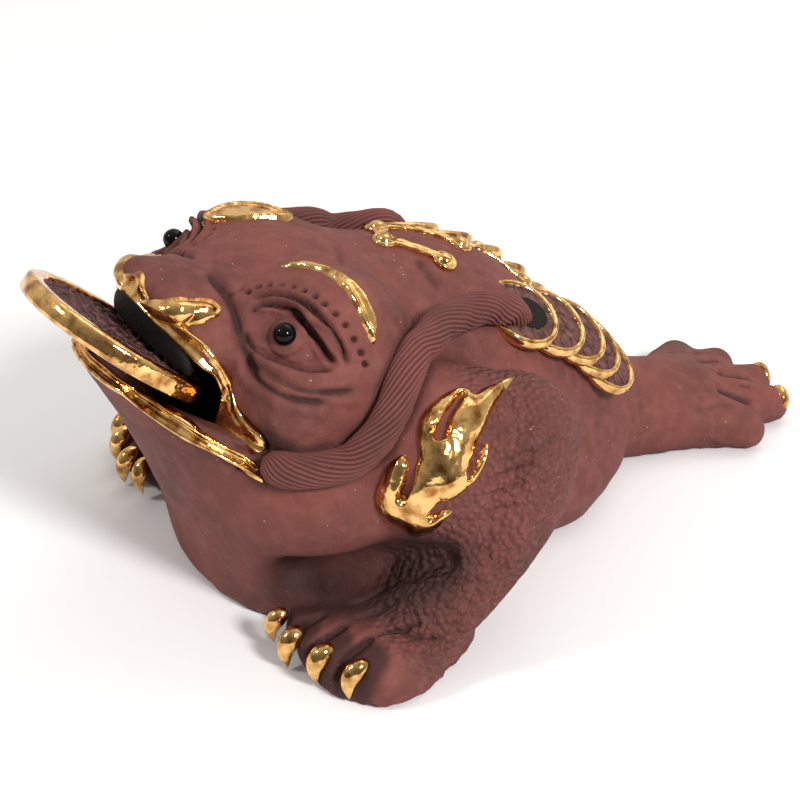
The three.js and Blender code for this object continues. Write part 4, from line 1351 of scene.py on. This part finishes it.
class Lips(bpy.types.Operator):
    """The gilded edges of both jaws"""
    bl_idname = "money_toad.lips"
    bl_label = "Lips"

    def execute(self, context):
        trough = smooth_line(((-0.05, -0.6), (-0.14, 0.2), (-0.08, 0.85), (0.12, 1.1), (0.3, 0.75),
                              (0.48, 0.2), (0.7, 0.3), (0.88, 0.8), (1.04, 0.7), (1.1, 0.0),
                              (1.06, -0.9), (0.5, -1.2)), 3, closed=True)
        band = smooth_line(((-0.02, -1.0), (-0.12, 0.0), (-0.06, 0.5), (0.12, 0.75), (0.4, 0.35),
                            (0.7, 0.3), (0.94, 0.35), (1.06, 0.0), (1.02, -0.8), (0.5, -1.4)), 3,
                           closed=True)
        forms = []
        for rails, section, seed, swing in ((LOWER_LIP, trough, 1.5, 0.2), (UPPER_LIP, band, 7.5, 0.3)):
            low, high = (whole_rail(r) for r in rails)
            forms.append(railed(low, high, lambda t: rounded_end(uneven(section, t, seed, swing), t)))
        gilded("lips", *forms)
        return {"FINISHED"}


# A star's button as (radius, height) pairs, and where the stars of the bowl and of the tail lie in plan
STAR_BUTTON = ((0.0, 1.5), (0.6, 1.42), (1.1, 1.15), (1.4, 0.65), (1.5, 0.35), (1.62, 0.3),
               (1.85, 0.6), (2.1, 0.55), (2.25, 0.1), (2.3, -0.8))
BOWL_STARS = ((1.5, -14.1), (-5.2, -11.6), (2.2, 0.9), (8.4, -6.1))
TAIL_STARS = ((-3.2, 8), (2.6, 14.6), (-1.4, 21))


class Stars(bpy.types.Operator):
    """A gilded pattern of seven stars and their links down the back"""
    bl_idname = "money_toad.stars"
    bl_label = "Stars"

    def execute(self, context):
        bowl, tail = ([on_skin(*p) for p in group] for group in (BOWL_STARS, TAIL_STARS))
        forms = []
        for centre in bowl + tail:
            out = unit(slope_of(skin, centre[None]))[0]
            forms.append(turned(Easel(centre, out, (0, 1, 0)), STAR_BUTTON, 26))
        links = [(bowl[0], bowl[1]), (bowl[1], bowl[2]), (bowl[0], bowl[3])]
        links += list(zip([bowl[2]] + tail[:-1], tail))
        for number, (a, b) in enumerate(links):
            line = drawn_on(skin, np.linspace(a, b, 22), 8)
            outs = unit(slope_of(skin, line))
            half = 1.25 if number == 0 else 0.85
            groove = ((half, -0.6), (half, 0.45), (0.75 * half, 0.75), (0.4 * half, 0.3),
                      (-0.4 * half, 0.3), (-0.75 * half, 0.75), (-half, 0.45), (-half, -0.6))
            forms.append(swept(line, outs, lambda t: uneven(groove, t + 3 * number, 2.5, 0.15)))
        gilded("stars", *forms)
        return {"FINISHED"}


def nail(t, half):
    """A claw's section: blunt at the root and drawn out to the tip."""
    r = (1 - (1 - t / 0.34) ** 2) ** 0.5 if t < 0.34 else 1 - ((t - 0.34) / 0.66) ** 1.7
    r = half * r + 0.04
    v = np.linspace(0, math.tau, 20, endpoint=False)
    return np.stack([r * np.cos(v), 0.9 * r * np.sin(v) * (1 + 0.2 * np.sin(v))], axis=1)


class Claws(bpy.types.Operator):
    """Four gilded claws on each front foot and gilded tips on two hind toes"""
    bl_idname = "money_toad.claws"
    bl_label = "Claws"

    def execute(self, context):
        front = []
        for root, tip, width in zip(CLAW_ROOTS, CLAW_TIPS, CLAW_WIDTHS):
            bend = (np.array(root) + tip) / 2 + (-0.2, -1.3, 0.5)
            line = smooth_line((root, bend, tip), 12)
            front.append(swept(line, unit((0, -1, 0.5)), lambda t: nail(t, width / 2)))
        hind = []
        for tip in REAR_TOES[2:4]:
            tip = np.array(tip) + (0, 0, 0.8)
            way = unit(tip - (0, ANKLE, 4.1))
            line = np.linspace(tip + 0.2 * way, tip + 4.7 * way + (0, 0, -0.7), 14)
            hind.append(swept(line, (0, 0, 1), lambda t: nail(t, 3.1)))
        gilded("claws", mirrored(*joined(front)), *hind)
        return {"FINISHED"}


class MouthCoin(bpy.types.Operator):
    """The cash coin in the mouth: a gilded rim and wall round worn clay faces"""
    bl_idname = "money_toad.mouth_coin"
    bl_label = "Mouth coin"

    def execute(self, context):
        half = COIN_THICKNESS / 2
        upper = ((14.9, half - 0.9), (15.0, half - 0.25), (15.5, half), (17.2, half), (17.8, half - 0.3),
                 (COIN_RADIUS, half - 0.9))
        radii, heights = np.array(upper + tuple((r, -h) for r, h in upper[::-1])).T
        k, sides = len(radii), 160
        points = [COIN.at(radii * math.cos(v), radii * math.sin(v), heights)
                  for v in math.tau * np.arange(sides) / sides]
        faces = [[n * k + j, m * k + j, m * k + i, n * k + i] for n, m in around(sides)
                 for j, i in around(k)]
        form = (np.concatenate(points), faces)
        piece("mouth_coin_rim", form, finish("gold"), "mouth_coin")
        both = spots((COIN.origin, COIN.origin), (COIN_OUT, -COIN_OUT))
        grown("mouth_coin_faces", both, coin_face_tree(), {
            "Diameter": 30.4 * MM, "Thickness": 2.2 * MM, "Spacing": 1.6 * MM, "Seed": 7,
            "Material": finish("dark")})
        return {"FINISHED"}


class Tongue(bpy.types.Operator):
    """The tongue that rests on the coin and meets the palate, painted nearly black for the shade inside the
    mouth
    """
    bl_idname = "money_toad.tongue"
    bl_label = "Tongue"

    def execute(self, context):
        def tongue(p):
            d = ovoid(p, (0, -57.6, 49.6), (14.4, 2.8, 6.6))
            return carve(d, COIN_THICKNESS / 2 + 0.1 - COIN.of(p)[:, 2], 0.4)

        points, faces = net(tongue, (-16, -62, 42), (16, -53, 58), 0.7)
        points = relaxed(points, faces, tongue, 2)
        # Painted shade: the mouth layer paints the whole tongue nearly black
        piece("tongue", (points, faces), finish("clay"), layers={"mouth": np.ones(len(points))})
        return {"FINISHED"}


# Where a bead sits in the eye's own frame, and how far its top stands out from there
BEAD_SEAT, BEAD_TOP = (-0.9, -0.1, 0.6), 1.7


class Eyes(bpy.types.Operator):
    """Black glass beads"""
    bl_idname = "money_toad.eyes"
    bl_label = "Eyes"

    def execute(self, context):
        radius = context.scene.toad_sizes.eye_bead / MM / 2
        centre = EYE.at(*BEAD_SEAT) + EYE.out * (BEAD_TOP - radius)
        arc = np.linspace(0, math.pi, 25)[:-1]
        for name, side in (("eye_left", 1), ("eye_right", -1)):
            easel = Easel(centre * (side, 1, 1), EYE.out * (side, 1, 1), (0, 0, 1))
            profile = [(radius * math.sin(v), radius * math.cos(v)) for v in arc]
            piece(name + "_bead", turned(easel, profile, 48), finish("glass"), name)
        return {"FINISHED"}


# The paper reaches this far each way, in metres
PAPER = 6
# A broad lamp over the back, and two smaller ones that draw lights along the gold: place, width, power
LAMPS = (("key", (-0.25, 0.75, 1.15), 1.0, 3.6), ("front", (-0.3, -0.95, 0.95), 0.2, 4.5),
         ("side", (1.0, 0.1, 0.75), 0.24, 14.0))
LAMP_AIM = Vector((0, 0, 0.03))
# The camera as fitted to the photo: its drawn place, the way back from it, its sensor's width in
# millimetres, and its focal length and picture width in the photo's pixels
CAMERA_PLACE, CAMERA_BACK, SENSOR = (261.7, -165.11, 195.32), (0.74877, -0.44368, 0.49242), 36
FOCAL_PIXELS, PICTURE_PIXELS = 1912.43, 800


class Stage(bpy.types.Operator):
    """White paper, soft lights and the camera"""
    bl_idname = "money_toad.stage"
    bl_label = "Stage"

    def execute(self, context):
        scene = context.scene
        mesh = bpy.data.meshes.new("paper_sweep")
        corners = [(x * PAPER, y * PAPER, 0) for x, y in ((-1, -1), (1, -1), (1, 1), (-1, 1))]
        mesh.from_pydata(corners, [], [(0, 1, 2, 3)])
        mesh.materials.append(finish("paper"))
        floor = bpy.data.objects.new("paper_sweep", mesh)
        scene.collection.objects.link(floor)

        scene.world = studio_air()
        for name, spot, size, power in LAMPS:
            light = bpy.data.lights.new(name, "AREA")
            light.size = size
            light.energy = power
            lamp = bpy.data.objects.new(name, light)
            lamp.location = spot
            lamp.rotation_euler = (Vector(spot) - LAMP_AIM).to_track_quat("Z", "Y").to_euler()
            scene.collection.objects.link(lamp)
        scene.view_settings.view_transform = "Standard"

        back = Vector(CAMERA_BACK).normalized()
        right = Vector((0, 0, 1)).cross(back).normalized()
        up = back.cross(right)
        lens = bpy.data.cameras.new("camera")
        lens.sensor_width = SENSOR
        lens.lens = SENSOR * FOCAL_PIXELS / PICTURE_PIXELS
        lens.clip_start = 0.01
        camera = bpy.data.objects.new("camera", lens)
        turn = Matrix((right, up, back)).transposed().to_4x4()
        camera.matrix_world = Matrix.Translation(Vector(place(CAMERA_PLACE))) @ turn
        scene.collection.objects.link(camera)
        scene.camera = camera
        return {"FINISHED"}


STEPS = (ToadSkin, Ropes, StringCoins, Flames, Brows, Leaves, Lips, Stars, Claws, MouthCoin, Tongue,
         Eyes, Stage)


class ToadPanel(bpy.types.Panel):
    """Lists the toad's pieces"""
    bl_idname = "VIEW3D_PT_money_toad"
    bl_label = "Money toad"
    bl_space_type = "VIEW_3D"
    bl_region_type = "UI"
    bl_category = "Toad"

    def draw(self, context):
        for group in (context.scene.toad_sizes, context.scene.toad_look):
            for name in group.__annotations__:
                self.layout.prop(group, name)
        for step in STEPS:
            self.layout.operator(step.bl_idname)


CLASSES = (Sizes, Look) + STEPS + (ToadPanel,)


def register():
    for cls in CLASSES:
        bpy.utils.register_class(cls)
    bpy.types.Scene.toad_sizes = bpy.props.PointerProperty(type=Sizes)
    bpy.types.Scene.toad_look = bpy.props.PointerProperty(type=Look)


def unregister():
    del bpy.types.Scene.toad_look
    del bpy.types.Scene.toad_sizes
    for cls in reversed(CLASSES):
        bpy.utils.unregister_class(cls)


def main():
    """Builds every piece in order."""
    register()
    for step in STEPS:
        group, name = step.bl_idname.split(".")
        getattr(getattr(bpy.ops, group), name)()


if __name__ == "__main__":
    main()
